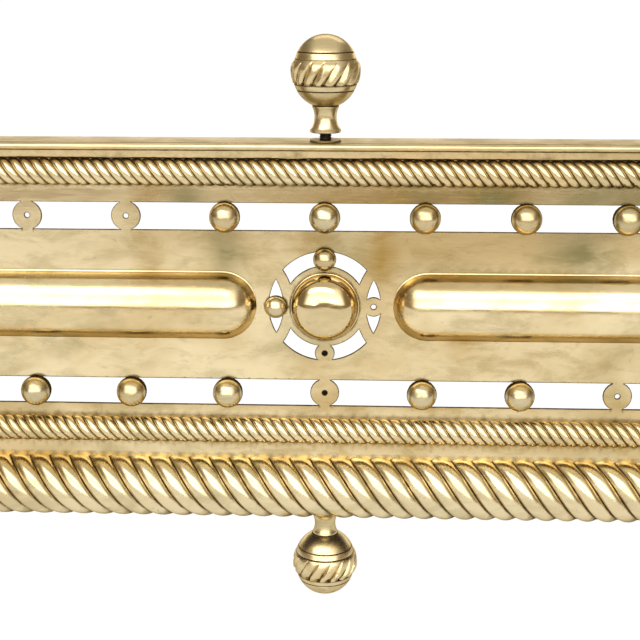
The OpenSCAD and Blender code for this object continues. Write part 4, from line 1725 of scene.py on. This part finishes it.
@dataclass(frozen=True)
class RailPlate:
    """Top plate of the rail on one run, with a ragged front edge along the seam."""

    node: str
    run: Run
    skin: float = 1.0 * MM
    front_edge: float = 1.0 * MM
    rail_back: float = 22 * MM
    bend: float = 0.8 * MM
    ragged: float = 0.22 * MM
    notch: float = 0.5 * MM
    sway: float = 0.05 * MM

    def outline(self) -> Loop:
        """The section, from the lower front edge over the top to the turned-down back edge."""
        low, high = (corner.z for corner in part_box(self.node))
        front, back, skin = self.front_edge, -self.rail_back, self.skin
        corner = arc((back + self.bend, high - self.bend), self.bend, 90, 180, 5)
        return [(front - 0.1 * MM, high - skin), (front, high - 0.2 * MM), (front - 0.25 * MM, high),
                (front - 1.0 * MM, high), (front - 2.5 * MM, high), (front - 8 * MM, high),
                *corner, (back, low), (back + skin, low), (back + skin, high - skin)]

    def wave(self, x: np.ndarray, index: int, _: float) -> tuple[np.ndarray, np.ndarray]:
        """Chews the front edge and lets the top sway.

        Args:
            x: places along the run.
            index: the point's number in the section.

        Returns:
            Its shift outward and upward.
        """
        ragged = self.ragged * slow_wave(x, 7.0, (0.0113, 0.0047, 0.0031, 0.037))
        notch = -self.notch * np.clip(slow_wave(x, 8.0, (0.041, 0.019, 0.0087)) - 0.35, 0, 1)
        share = {0: 0.6, 1: 1.0, 2: 1.0, 3: 0.3}.get(index, 0.0)
        sways = self.sway if 2 <= index <= 5 else 0.0
        return share * (ragged + notch), -sways * (1 + slow_wave(x, 9.0, (0.13, 0.037)))

    def build(self, shop: Workshop) -> Item:
        """Makes the plate.

        Args:
            shop: the patterns and materials.

        Returns:
            The finished piece.
        """
        mesh = sweep(self.run, self.outline(), 1.3 * MM, self.wave)
        points = np.array([v.co for v in mesh.vertices])
        set_attribute(mesh, "crevice", near(np.abs(self.front_edge + points[:, 1]), 0.9 * MM))
        return shop.hand_over(mesh, self.node, "sheet", "rail_brass", 35.0, self.run.place)


# ---- turned pieces


@dataclass(frozen=True)
class Ring:
    """One ring of points on a turned piece: its radius and height, how far lobes show and how much tarnish
    and painted shade it takes.
    """

    radius: float
    height: float
    lobes: float = 0.0
    crevice: float = 0.0


class LineSet(Enum):
    """Where fine lines are cut round a knob's ball, as heights over its flange in millimetres."""

    FINIAL = (21.5, 40.9)
    FOOT = (21.5, 24.7, 40.2)


@dataclass(frozen=True)
class Knob:
    """A turned ball on a hollow neck, with a band of twisted flutes, in metres.

    The near dome is on the neck's side of the band and the far dome beyond it.
    A finial's flutes run out to points at the far dome and a foot's at the near one.
    The band is given in millimetres, by the height and radius of each ring.
    """

    lines: LineSet
    flat: float = 0.0
    near_r: float = 16.8 * MM
    near_z: float = 29.2 * MM
    far_r: float = 16.2 * MM
    far_z: float = 33.6 * MM
    flange_r: float = 8.05 * MM
    flange_h: float = 1.6 * MM
    edge: float = 0.3 * MM
    neck_r: float = 5.7 * MM
    neck_curve_r: float = 11 * MM
    neck_z: float = 7.95 * MM
    neck_lip: float = 7.0 * MM
    band: tuple[Point, ...] = (
        (24.9, 16.35), (25.3, 16.8), (25.9, 17.1), (26.7, 17.35), (27.7, 17.6), (28.9, 17.8), (30.1, 17.9),
        (31.3, 17.95), (32.5, 17.95), (33.5, 17.85), (34.4, 17.6), (35.2, 17.2), (35.9, 16.7), (36.5, 16.25),
        (37.0, 15.95))
    flute_count: int = 16
    flute_steps: int = 12
    flute_d: float = 1.75 * MM
    steep: float = 0.2
    gentle: float = 0.52
    full_share: float = 0.3
    lean: float = math.radians(33)
    line_w: float = 0.42 * MM
    line_d: float = 0.3 * MM
    least_gap: float = 0.05 * MM

    @property
    def top(self) -> float:
        """Height of the far dome's pole."""
        return self.far_z + self.far_r

    @property
    def band_ends(self) -> Point:
        """Heights where the band of flutes starts and ends."""
        return self.band[0][0] * MM, self.band[-1][0] * MM

    def dome_r(self, height: float) -> float:
        """Radius of the plain ball at a height over the flange."""
        if height < (self.near_z + self.far_z) / 2:
            return math.sqrt(max(self.near_r ** 2 - min(height - self.near_z, 0.0) ** 2, 0.0))
        return math.sqrt(max(self.far_r ** 2 - max(height - self.far_z, 0.0) ** 2, 0.0))

    def neck_rings(self) -> list[Ring]:
        """Flange, neck and lip under the ball."""
        edge, curve = self.edge, self.neck_curve_r
        rings = [Ring(0.0, 0.0, crevice=0.8), Ring(self.flange_r - edge, 0.0, crevice=0.8),
                 Ring(self.flange_r, edge, crevice=0.3), Ring(self.flange_r, self.flange_h - edge),
                 Ring(self.flange_r - edge, self.flange_h, crevice=0.6)]
        reach = math.sqrt(curve ** 2 - (self.neck_r + curve - self.neck_lip) ** 2)
        for height in np.linspace(self.flange_h + edge, self.neck_z + reach, 14):
            radius = self.neck_r + curve - math.sqrt(curve ** 2 - (height - self.neck_z) ** 2)
            rings.append(Ring(radius, height, crevice=0.2))
        lip = self.neck_z + reach
        return rings + [Ring(self.neck_lip, lip + 0.15 * MM, crevice=0.3),
                        Ring(self.neck_lip - 0.25 * MM, lip + 0.45 * MM, crevice=1.0)]

    def ball_rings(self, start: float) -> list[Ring]:
        """The two domes and the band of flutes between them, from a starting height.

        Args:
            start: the height where the ball starts.

        Returns:
            The rings.
        """
        first = math.asin((self.near_z - start) / self.near_r)
        low, high = self.band_ends
        near_dome = [self.near_z - self.near_r * math.sin(a) for a in np.linspace(first, 0.2, 13)]
        near_dome = [h for h in near_dome if h < low - 0.5 * MM] + [low - 0.2 * MM]
        far_dome = [self.far_z + self.far_r * math.sin(a) for a in np.linspace(0.15, math.pi / 2, 19)]
        far_dome = [high + 0.2 * MM] + [h for h in far_dome if h > high + 0.6 * MM]
        # Tarnish and painted shade where the domes meet the neck and the band.
        dirt_and_shade = {near_dome[0]: 1.0, near_dome[-1]: 1.0, far_dome[0]: 0.9}
        rings = [Ring(self.dome_r(h), h, crevice=dirt_and_shade.get(h, 0.0)) for h in near_dome]
        rings += [Ring(radius * MM, height * MM, lobes=1.0) for height, radius in self.band]
        rings += [Ring(self.dome_r(h), h, crevice=dirt_and_shade.get(h, 0.0)) for h in far_dome[:-1]]
        return self.cut_lines([*rings, Ring(0.0, self.top)])

    def cut_lines(self, rings: list[Ring]) -> list[Ring]:
        """Cuts the fine lines into the ball's rings.

        Args:
            rings: the plain rings.

        Returns:
            The rings with the lines.
        """
        half = ((1.6, 0.0, 0.1), (0.9, 0.0, 0.5), (0.3, self.line_d, 1.0))
        steps = [(-off, deep, dirt_and_shade) for off, deep, dirt_and_shade in half] + list(reversed(half))
        for line in self.lines.value:
            z = line * MM
            rings = [r for r in rings if r.lobes or abs(r.height - z) > 2 * self.line_w]
            groove = [Ring(self.dome_r(z + self.line_w * off) - deep, z + self.line_w * off, crevice=dirt_and_shade)
                      for off, deep, dirt_and_shade in steps]
            index = next(i for i, r in enumerate(rings) if r.height > z)
            limit = rings[index].height - self.least_gap
            rings[index:index] = [ring for ring in groove if ring.height < limit]
        return rings

    def flute(self, spots: np.ndarray) -> np.ndarray:
        """Depth of the flutes round the band, from 0 to 1: steep on one side and gentle on the other."""
        place = (spots + 0.5) % 1.0 - 0.5
        depth = np.where(place < 0, 1 + place / self.steep, 1 - place / self.gentle)
        return np.clip(depth, 0, 1)

    def rings(self) -> list[Ring]:
        """Every ring, from the flange to the pole or the worn flat."""
        neck = self.neck_rings()
        rings = neck + self.ball_rings(neck[-1].height + 0.25 * MM)
        if not self.flat:
            return rings
        limit = self.top - self.flat
        rings = [r for r in rings if r.height < limit - self.least_gap]
        return rings + [Ring(self.dome_r(limit), limit), Ring(0.0, limit)]

    def mesh(self) -> Mesh:
        """The knob standing on its flange at the origin, with its tarnish and painted shade in the lines,
        flutes and joints.
        """
        low, high = self.band_ends
        columns = self.flute_count * self.flute_steps
        spots = np.arange(columns) / self.flute_steps
        depth = self.flute(spots)
        points, crevice = [], []
        for ring in self.rings():
            level = min(max(ring.height, low), high)
            angles = (spots * (2 * math.pi / self.flute_count)
                      + (level - self.near_z) * math.tan(self.lean) / self.near_r)
            share = (level - low) / (high - low)
            if self.lines is LineSet.FOOT:
                share = 1 - share
            shallow = max(0.0, (share - self.full_share) / (1 - self.full_share)) ** 1.4
            cut = np.maximum(depth - shallow, 0.0) * ring.lobes
            points.append(ring_points(ring.radius - self.flute_d * cut, angles, ring.height))
            # Tarnish and painted shade in the flutes.
            crevice.append(np.maximum(ring.crevice, np.clip(cut, 0, 1) ** 2.5))
        mesh = new_mesh("knob", np.concatenate(points), grid_faces(len(points), columns, wrap_columns=True))
        set_attribute(mesh, "crevice", np.concatenate(crevice))
        outward(mesh)
        return mesh

    def build(self, node: str, turn: float, shop: Workshop) -> Item:
        """Makes the knob that stands for a CAD node, screwed round by a turn in radians.

        Args:
            node: the CAD node.
            turn: the turn.
            shop: the patterns and materials.

        Returns:
            The finished piece.
        """
        low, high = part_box(node)
        place = Matrix.Translation((*node_axis(node), low.z))
        if self.lines is LineSet.FOOT:
            place = Matrix.Translation((*node_axis(node), high.z)) @ Matrix.Rotation(math.pi, 4, "X")
        place = place @ Matrix.Rotation(turn, 4, "Z")
        return shop.hand_over(self.mesh(), node, "turned", "turned_brass", 42.0, place)


@dataclass(frozen=True)
class Stud:
    """A ball-headed stud with its riveted pin, in metres."""

    radius: float
    turns: int = 30
    dent: float = 0.14 * MM
    dent_fineness: float = 330.0
    lift: float = 0.22
    wall: float = 1.2 * MM
    pin_r: float = 1.2 * MM
    rivet_r: float = 2.3 * MM
    rivet_h: float = 0.9 * MM

    def mesh(self, seed: float) -> Mesh:
        """One stud at the origin, pointing out of the sheet, with tarnish and painted shade darkening it
        towards its foot.

        Args:
            seed: tells its dents from another stud's.

        Returns:
            The mesh.
        """
        centre, back = self.radius * self.lift, -self.wall
        last = -math.degrees(math.asin(self.lift))
        profile = arc((0.0, centre), self.radius - 0.6 * self.dent, 90, last, 16)
        profile = [(0.0, profile[0][1]), *profile[1:-1], (profile[-1][0], 0.0),
                   (self.pin_r, 0.0), (self.pin_r, back), (self.rivet_r, back),
                   (self.rivet_r, back - 0.4 * self.rivet_h),
                   (0.7 * self.rivet_r, back - 0.85 * self.rivet_h), (0.0, back - self.rivet_h)]
        points, faces = revolve(profile, self.turns)
        mesh = new_mesh("stud", points, faces)
        # Tarnish and painted shade, darker towards the stud's foot.
        crevice = np.clip((0.64 * self.radius - points[:, 2]) / (0.27 * self.radius), 0, 1)
        set_attribute(mesh, "crevice", crevice)
        for vertex in mesh.vertices:
            if vertex.co.z > 0.5 * MM:
                spot = Vector((seed, 0.0, 0.0)) + vertex.co * self.dent_fineness
                away = (vertex.co - Vector((0.0, 0.0, centre))).normalized()
                vertex.co += away * self.dent * noise.noise(spot)
        outward(mesh)
        mesh.transform(FACING_OUT)
        return mesh


BIG_STUD = Stud(radius=8.15 * MM)
SMALL_STUD = Stud(radius=6.1 * MM, turns=26, dent=0.08 * MM)


@dataclass(frozen=True)
class StudRows:
    """The studs along a run's slots, by the height and the lost places of each row."""

    node: str
    run: Run
    rows: tuple[tuple[float, tuple[int, ...]], ...]
    plan: StudPlan = SIDE_PLAN

    def row(self, z: float, lost: Sequence[int], seed: int, shop: Workshop) -> Mesh:
        """One row of studs as a plain mesh.

        Args:
            z: the row's height.
            lost: places of the lost studs, counted from the middle.
            seed: the seed for how the studs are dented and turned.
            shop: the patterns and materials.

        Returns:
            The row, less those that are lost.
        """
        count, pitch = self.plan.side_count(self.run), self.plan.pitch
        gaps = [place + count for place in lost] + [-1, -1]
        return shop.repeat(BIG_STUD.mesh(float(seed)), shop.patterns.row, "polished_brass",
                           Count=2 * count + 1, Pitch=pitch, Start=-count * pitch, Height=z,
                           LostA=gaps[0], LostB=gaps[1], Seed=seed)

    def build(self, shop: Workshop) -> Item:
        """Makes the studs."""
        mesh = join([self.row(z, lost, 3 + index, shop) for index, (z, lost) in enumerate(self.rows)])
        return shop.hand_over(mesh, self.node, "cast", "polished_brass", 50.0, self.run.place)


@dataclass(frozen=True)
class Boss:
    """The dome in the middle of the rosette, with its bead, stem and one dent, in metres."""

    radius: float = 18.4 * MM
    bead_r: float = 0.65 * MM
    dome_h: float = 13.35 * MM
    fullness: float = 2.55
    quirk: float = 0.4 * MM
    stem_r: float = 2.9 * MM
    stem_h: float = 4.4 * MM
    turns: int = 96
    dent_x: float = -5.2 * MM
    dent_z: float = 6.5 * MM
    dent_w: float = 1.6 * MM
    dent_d: float = 0.25 * MM
    dirt_w: float = 0.3 * MM

    def build(self, place: Matrix, shop: Workshop) -> Item:
        """Makes the boss, at the place of the rosette's middle.

        Args:
            place: the place.
            shop: the patterns and materials.

        Returns:
            The finished piece.
        """
        bead = self.radius - self.bead_r
        base = bead - self.bead_r + self.quirk
        power = 2 / self.fullness
        profile = [(base * math.sin(a) ** power, self.bead_r + self.dome_h * max(math.cos(a), 0.0) ** power)
                   for a in np.linspace(0, math.pi / 2, 30)]
        profile += [(base, self.bead_r - 0.15 * MM), *arc((bead, self.bead_r / 2), self.bead_r, 145, -30, 12),
                    (bead, 0.0), (self.stem_r, 0.0), (self.stem_r, -self.stem_h), (0.0, -self.stem_h)]
        points, faces = revolve(profile, self.turns)
        mesh = new_mesh("boss", points, faces)
        radii, heights = np.hypot(points[:, 0], points[:, 1]), points[:, 2]
        quirk_dirt = near(np.abs(radii - base), self.dirt_w) * (heights < 1.2 * MM)
        set_attribute(mesh, "crevice", np.maximum(quirk_dirt, near(np.abs(heights), self.dirt_w)))
        for vertex in mesh.vertices:
            if vertex.co.z > 5 * MM:
                gap = math.hypot(vertex.co.x - self.dent_x, vertex.co.y - self.dent_z)
                vertex.co.z -= self.dent_d * math.exp(-(gap / self.dent_w) ** 2)
        outward(mesh)
        return shop.hand_over(mesh, "rosette_boss", "spun", "polished_brass", 45.0, place @ FACING_OUT,
                              "mirror_brass")


@dataclass(frozen=True)
class TieRod:
    """A tie rod with a thread near each end, in metres."""

    node: str
    radius: float = 3.2 * MM
    pitch: float = 1.27 * MM
    depth: float = 0.45 * MM
    threaded: float = 42 * MM
    turns: int = 24
    steps: int = 6

    def build(self, shop: Workshop) -> Item:
        """Makes the rod.

        Args:
            shop: the patterns and materials.

        Returns:
            The finished piece.
        """
        low, high = (corner.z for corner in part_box(self.node))
        count = int(self.threaded / self.pitch * self.steps)
        angles, rows = round_angles(self.turns), []
        for height in (*np.linspace(low, low + self.threaded, count),
                       *np.linspace(high - self.threaded, high, count)):
            phase = (height / self.pitch - angles / (2 * math.pi)) % 1.0
            rows.append(ring_points(self.radius - self.depth * np.abs(2 * phase - 1), angles, height))
        points = np.concatenate(rows)
        faces = grid_faces(len(rows), self.turns, wrap_columns=True)
        faces += [tuple(range(self.turns)), tuple(range(len(points) - self.turns, len(points)))]
        mesh = new_mesh("rod", points, faces)
        outward(mesh)
        place = Matrix.Translation((*node_axis(self.node), 0.0))
        return shop.hand_over(mesh, self.node, "threaded", "iron", 60.0, place)


def nut_mesh(height: float, bore_r: float, across: float = 10 * MM) -> Mesh:
    """A chamfered hexagon nut standing at the origin.

    Args:
        height: its height.
        bore_r: radius of its bore.
        across: its size across the flats.

    Returns:
        The mesh.
    """
    angles = round_angles(NUT_STEPS)
    flat = across / 2 / np.cos(angles % (math.pi / 3) - math.pi / 6)
    face_r = 0.97 * across / 2
    fall = (flat - face_r) * math.tan(math.radians(30))
    outline = ((bore_r, 0.0), (face_r, 0.0), (flat, fall),
               (flat, height - fall), (face_r, height), (bore_r, height))
    rows = [ring_points(radius, angles, level) for radius, level in outline]
    faces = grid_faces(len(rows), NUT_STEPS, wrap_rows=True, wrap_columns=True)
    mesh = new_mesh("nut", np.concatenate(rows), faces)
    outward(mesh)
    return mesh


def washer_mesh(radius: float, height: float, bore_r: float) -> Mesh:
    """A washer with eased edges standing at the origin.

    Args:
        radius: its outer radius.
        height: its thickness.
        bore_r: radius of its bore.

    Returns:
        The mesh.
    """
    ease = 0.3 * height
    profile = [(bore_r, 0.0), (radius - ease, 0.0), (radius, ease), (radius, height - ease),
               (radius - ease, height), (bore_r + ease, height), (bore_r, height - ease)]
    mesh = new_mesh("washer", *revolve(profile, NUT_STEPS, closed=True))
    outward(mesh)
    return mesh


@dataclass(frozen=True)
class RodHardware:
    """Nuts or washers that sit at every tie rod."""

    node: str
    slot: str
    seed: int

    @property
    def height(self) -> float:
        """How high each of them is."""
        low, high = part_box(self.node)
        return high.z - low.z

    def build(self, shape: Mesh, shop: Workshop) -> Item:
        """Makes them from one of them at the origin, which is removed.

        Args:
            shape: one of them.
            shop: the patterns and materials.

        Returns:
            The finished piece.
        """
        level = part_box(self.node)[0].z
        spots = new_mesh("spots", np.array([(*node_axis(f"{rod}_tie_rod"), level) for rod in RODS]), [])
        copied = new_object("shape", shape)
        mesh = shop.repeat(spots, shop.patterns.scatter, self.slot, Shape=copied, Seed=self.seed)
        bpy.data.objects.remove(copied)
        bpy.data.meshes.remove(shape)
        return shop.hand_over(mesh, self.node, "set", self.slot, 25.0)


# ---- studio


def set_up(name: str, data: bpy.types.ID, place: Sequence[float], turn: Euler) -> Item:
    """Links a lamp or a camera to the scene at a place, turned."""
    carrier = bpy.data.objects.new(name, data)
    carrier.location = place
    carrier.rotation_euler = turn
    bpy.context.scene.collection.objects.link(carrier)
    return carrier


@dataclass(frozen=True)
class Softbox:
    """A soft rectangular lamp: its place, aim, size and radiance."""

    name: str
    place: tuple[float, float, float]
    aim: tuple[float, float, float]
    width: float
    height: float
    radiance: float

    def build(self) -> None:
        """Adds the lamp."""
        lamp = bpy.data.lights.new(self.name, "AREA")
        lamp.shape = "RECTANGLE"
        lamp.size, lamp.size_y = self.width, self.height
        lamp.energy = self.radiance * math.pi * self.width * self.height
        turn = (Vector(self.aim) - Vector(self.place)).to_track_quat("-Z", "Y").to_euler()
        set_up(self.name, lamp, self.place, turn)


@dataclass(frozen=True)
class Studio:
    """Camera, floor, room and lamps."""

    camera_at: tuple[float, float, float] = (0.02641, -0.82541, 0.34551)
    camera_tilt: float = 75.0
    camera_turn: float = 2.4
    lens: float = 75.94
    floor_size: float = 60.0
    floor_front: float = -1.35
    floor_colour: Tint = Tint(0.93, 0.925, 0.91)
    floor_white: float = 0.9
    floor_glow: float = 1.06
    wall: Tint = Tint(1.9, 1.87, 1.8)
    skirting: Tint = Tint(0.34, 0.26, 0.17)
    back_wall: Tint = Tint(0.36, 0.345, 0.32)
    sweep: Tint = Tint(2.3, 2.25, 2.15)
    ceiling: Tint = Tint(0.78, 0.75, 0.68)
    side_wall: Tint = Tint(0.3, 0.23, 0.15)
    window: Tint = Tint(3.6, 3.55, 3.45)
    lamps: tuple[Softbox, ...] = (
        Softbox("key_softbox", (-0.25, -1.1, 1.25), (0.0, -0.1, 0.2), 1.9, 0.55, 2.6),
        Softbox("back_softbox", (0.1, 1.1, 1.4), (0.0, 0.0, 0.15), 1.4, 0.7, 1.4),
    )

    def camera(self) -> None:
        """Adds the camera at the photograph's angle."""
        data = bpy.data.cameras.new("camera")
        data.lens, data.sensor_width = self.lens, 36.0
        data.clip_start, data.clip_end = 0.02, 60.0
        turn = Euler((math.radians(self.camera_tilt), 0.0, math.radians(self.camera_turn)))
        bpy.context.scene.camera = set_up("camera", data, self.camera_at, turn)

    def floor(self) -> None:
        """Adds the pale floor, which ends a little in front of the fender and glows white to the eye."""
        side, front = self.floor_size / 2, self.floor_front
        corners = np.array([(-side, front, 0.0), (side, front, 0.0), (side, side, 0.0), (-side, side, 0.0)])
        piece = new_object("floor", new_mesh("floor", corners, [(0, 1, 2, 3)]))
        sheet = MaterialSheet("pale_floor")
        looks = {"Base Color": self.floor_colour, "Roughness": 0.8, "Specular IOR Level": 0.2}
        for label, value in looks.items():
            sheet.plug(sheet.shader.inputs[label], value)
        rays = sheet.node("ShaderNodeLightPath").outputs
        seen = sheet.math("MAXIMUM", rays["Is Camera Ray"], rays["Is Glossy Ray"])
        seen = sheet.math("MAXIMUM", seen, rays["Is Transmission Ray"])
        white = sheet.node("ShaderNodeEmission", {"Strength": self.floor_glow}).outputs["Emission"]
        mixed = sheet.node("ShaderNodeMixShader", {0: sheet.math("MULTIPLY", seen, self.floor_white),
                                                   1: sheet.shader.outputs["BSDF"], 2: white})
        sheet.plug(sheet.output.inputs["Surface"], mixed.outputs[0])
        piece.data.materials.append(sheet.material)

    def room(self) -> None:
        """Paints the room: white walls, a dimmer ceiling and a low bright window in front of the fender."""
        world = bpy.data.worlds.new("room")
        bpy.context.scene.world = world
        world.use_nodes = True
        sheet = NodeSheet(world.node_tree)
        coords = sheet.node("ShaderNodeTexCoord").outputs["Generated"]
        split = sheet.node("ShaderNodeSeparateXYZ", {0: coords}).outputs
        height, ahead, aside = split["Z"], split["Y"], sheet.math("ABSOLUTE", split["X"])
        behind = sheet.math("MULTIPLY", sheet.ramp(height, 0.3, 0.15), sheet.ramp(ahead, 0.45, 0.8))
        window = sheet.math("MULTIPLY", sheet.ramp(height, 0.02, 0.06), sheet.ramp(height, 0.6, 0.1))
        window = sheet.math("MULTIPLY", window, sheet.ramp(ahead, -0.2, -0.6))
        colour = sheet.mix(self.skirting, self.wall, sheet.ramp(height, 0.0, 0.04))
        colour = sheet.mix(colour, self.back_wall, sheet.ramp(ahead, -0.5, 0.1))
        colour = sheet.mix(colour, self.sweep, behind)
        colour = sheet.mix(colour, self.window, window)
        colour = sheet.mix(colour, self.side_wall, sheet.ramp(aside, 0.5, 0.85))
        colour = sheet.mix(colour, self.ceiling, sheet.ramp(height, 0.6, 0.92))
        shade = sheet.node("ShaderNodeBackground", {"Color": colour})
        sheet.node("ShaderNodeOutputWorld", {0: shade.outputs[0]})

    def build(self) -> None:
        """Adds everything."""
        self.camera()
        self.floor()
        self.room()
        for lamp in self.lamps:
            lamp.build()


# ---- the fender


class Fender:
    """The whole fender, built sub-assembly by sub-assembly."""

    def __init__(self, nodes: dict[str, Item]) -> None:
        """Reads the frame, whose CAD nodes are given by name."""
        self.nodes = nodes
        self.layout = Layout.read()
        self.shop = Workshop()
        self.slot_rows = tuple(sum(corner.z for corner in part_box(node)) / 2
                               for node in ("front_lower_studs", "front_upper_studs"))
        self.mid_z = sum(self.slot_rows) / 2

    def report(self, pieces: Iterable[Item]) -> None:
        """Logs each finished piece."""
        for piece in pieces:
            LOG.info("%s: %d faces", piece.name, len(piece.data.polygons))

    def ropes(self) -> Iterable[Item]:
        """The nine rope mouldings."""
        for side in Side:
            for level in ROPE_LEVELS:
                node = f"{side.value}_{level}_rope"
                size = BIG_ROPE if level == "base" else NARROW_ROPE
                rope = RopeMoulding(node, self.layout.run(side), self.layout.section(node, side), size)
                yield rope.build(self.shop)

    def sheets(self) -> Iterable[Item]:
        """The three pierced sheets."""
        bar_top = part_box("front_base_bar")[1].z
        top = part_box("front_rail_core")[0].z
        for side in Side:
            run = self.layout.run(side)
            ropes = [self.layout.section(f"{side.value}_{level}_rope", side) for level in ROPE_LEVELS]
            edges = [z for section in ropes for z in (section.low, section.high)]
            end, ring = run.half - PILLOW_MARGIN, PILLOW_TO_ROSETTE
            if side is Side.FRONT:
                plan, rosette, smudges = FRONT_PLAN, Rosette(), FRONT_SMUDGES_AND_REFLECTIONS
                pillows = (Pillow(-end, -ring, self.mid_z), Pillow(ring, end, self.mid_z))
            else:
                plan, rosette, smudges = SIDE_PLAN, None, SIDE_SMUDGES_AND_REFLECTIONS
                pillows = (Pillow(-end, end, self.mid_z),)
            sheet = PiercedSheet(f"{side.value}_panel", run, plan, bar_top, top, self.slot_rows,
                                 tuple(edges[1:]), pillows, rosette, smudges)
            yield sheet.build(self.shop)

    def rails(self) -> Iterable[Item]:
        """Nosings and top plates."""
        core_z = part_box("front_rail_core")[0].z
        for side in Side:
            run = self.layout.run(side)
            node = f"{side.value}_rail_nosing"
            yield RailNosing(node, run, self.layout.section(node, side), core_z).build(self.shop)
            yield RailPlate(f"{side.value}_rail_plate", run).build(self.shop)

    def studs(self) -> Iterable[Item]:
        """Big studs, small studs and the boss."""
        lower, upper = self.slot_rows
        front = self.layout.run(Side.FRONT)
        yield StudRows("front_upper_studs", front, ((upper, FRONT_PLAN.lost_upper),)).build(self.shop)
        yield StudRows("front_lower_studs", front, ((lower, FRONT_PLAN.lost_lower),)).build(self.shop)
        for side in (Side.LEFT, Side.RIGHT):
            rows = StudRows(f"{side.value}_studs", self.layout.run(side), ((upper, ()), (lower, ())))
            yield rows.build(self.shop)
        ring = Rosette().stud_ring_r
        meshes = []
        for seed, (x, z) in enumerate(((0.0, self.mid_z + ring), (-ring, self.mid_z))):
            mesh = SMALL_STUD.mesh(11.0 + seed)
            mesh.transform(Matrix.Translation((x, 0.0, z)))
            meshes.append(mesh)
        yield self.shop.hand_over(join(meshes), "rosette_studs", "cast", "polished_brass", 50.0, front.place)
        yield Boss().build(front.place @ Matrix.Translation((0.0, 0.0, self.mid_z)), self.shop)

    def turned(self) -> Iterable[Item]:
        """Finials, feet and tie rods."""
        finial, foot = Knob(LineSet.FINIAL), Knob(LineSet.FOOT, flat=0.4 * MM)
        for index, place in enumerate(RODS):
            yield finial.build(f"{place}_finial", 0.9 * index + 0.12, self.shop)
            yield foot.build(f"{place}_foot", 1.3 * index + 0.3, self.shop)
            yield TieRod(f"{place}_tie_rod").build(self.shop)

    def hardware(self) -> Iterable[Item]:
        """Nuts and washers."""
        bore = 3.1 * MM
        for seed, node in enumerate(("rail_nuts", "base_nuts")):
            nuts = RodHardware(node, "iron", 21 + seed)
            yield nuts.build(nut_mesh(nuts.height, bore), self.shop)
        washers = RodHardware("finial_washers", "dull_brass", 31)
        yield washers.build(washer_mesh(8.2 * MM, washers.height, bore), self.shop)
        low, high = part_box("rosette_boss_nut")
        place = Matrix.Translation((0.0, high.y, (low.z + high.z) / 2)) @ FACING_OUT
        mesh = nut_mesh(high.y - low.y, 2.8 * MM)
        yield self.shop.hand_over(mesh, "rosette_boss_nut", "cut", "dull_brass", 25.0, place)

    def plain_nodes(self) -> None:
        """Gives the bars, cores, corner angles and end plates their finishes."""
        for side in Side:
            for part in ("rail_core", "base_bar"):
                self.shop.paint.dress_node(self.nodes[f"{side.value}_{part}"], "iron")
        for side in ("left", "right"):
            for part in ("corner_angle", "end_plate"):
                self.shop.paint.dress_node(self.nodes[f"{side}_{part}"], "sheet_brass")

    def build(self) -> None:
        """Builds everything in order."""
        for step in (self.ropes, self.sheets, self.rails, self.studs, self.turned, self.hardware):
            self.report(step())
        self.plain_nodes()


def main() -> None:
    """Builds the scene."""
    logging.basicConfig(level=logging.INFO, format="%(name)s: %(message)s")
    bpy.context.scene.view_settings.view_transform = "Standard"
    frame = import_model()
    Studio().build()
    Fender(frame["nodes"]).build()


if __name__ == "__main__":
    main()
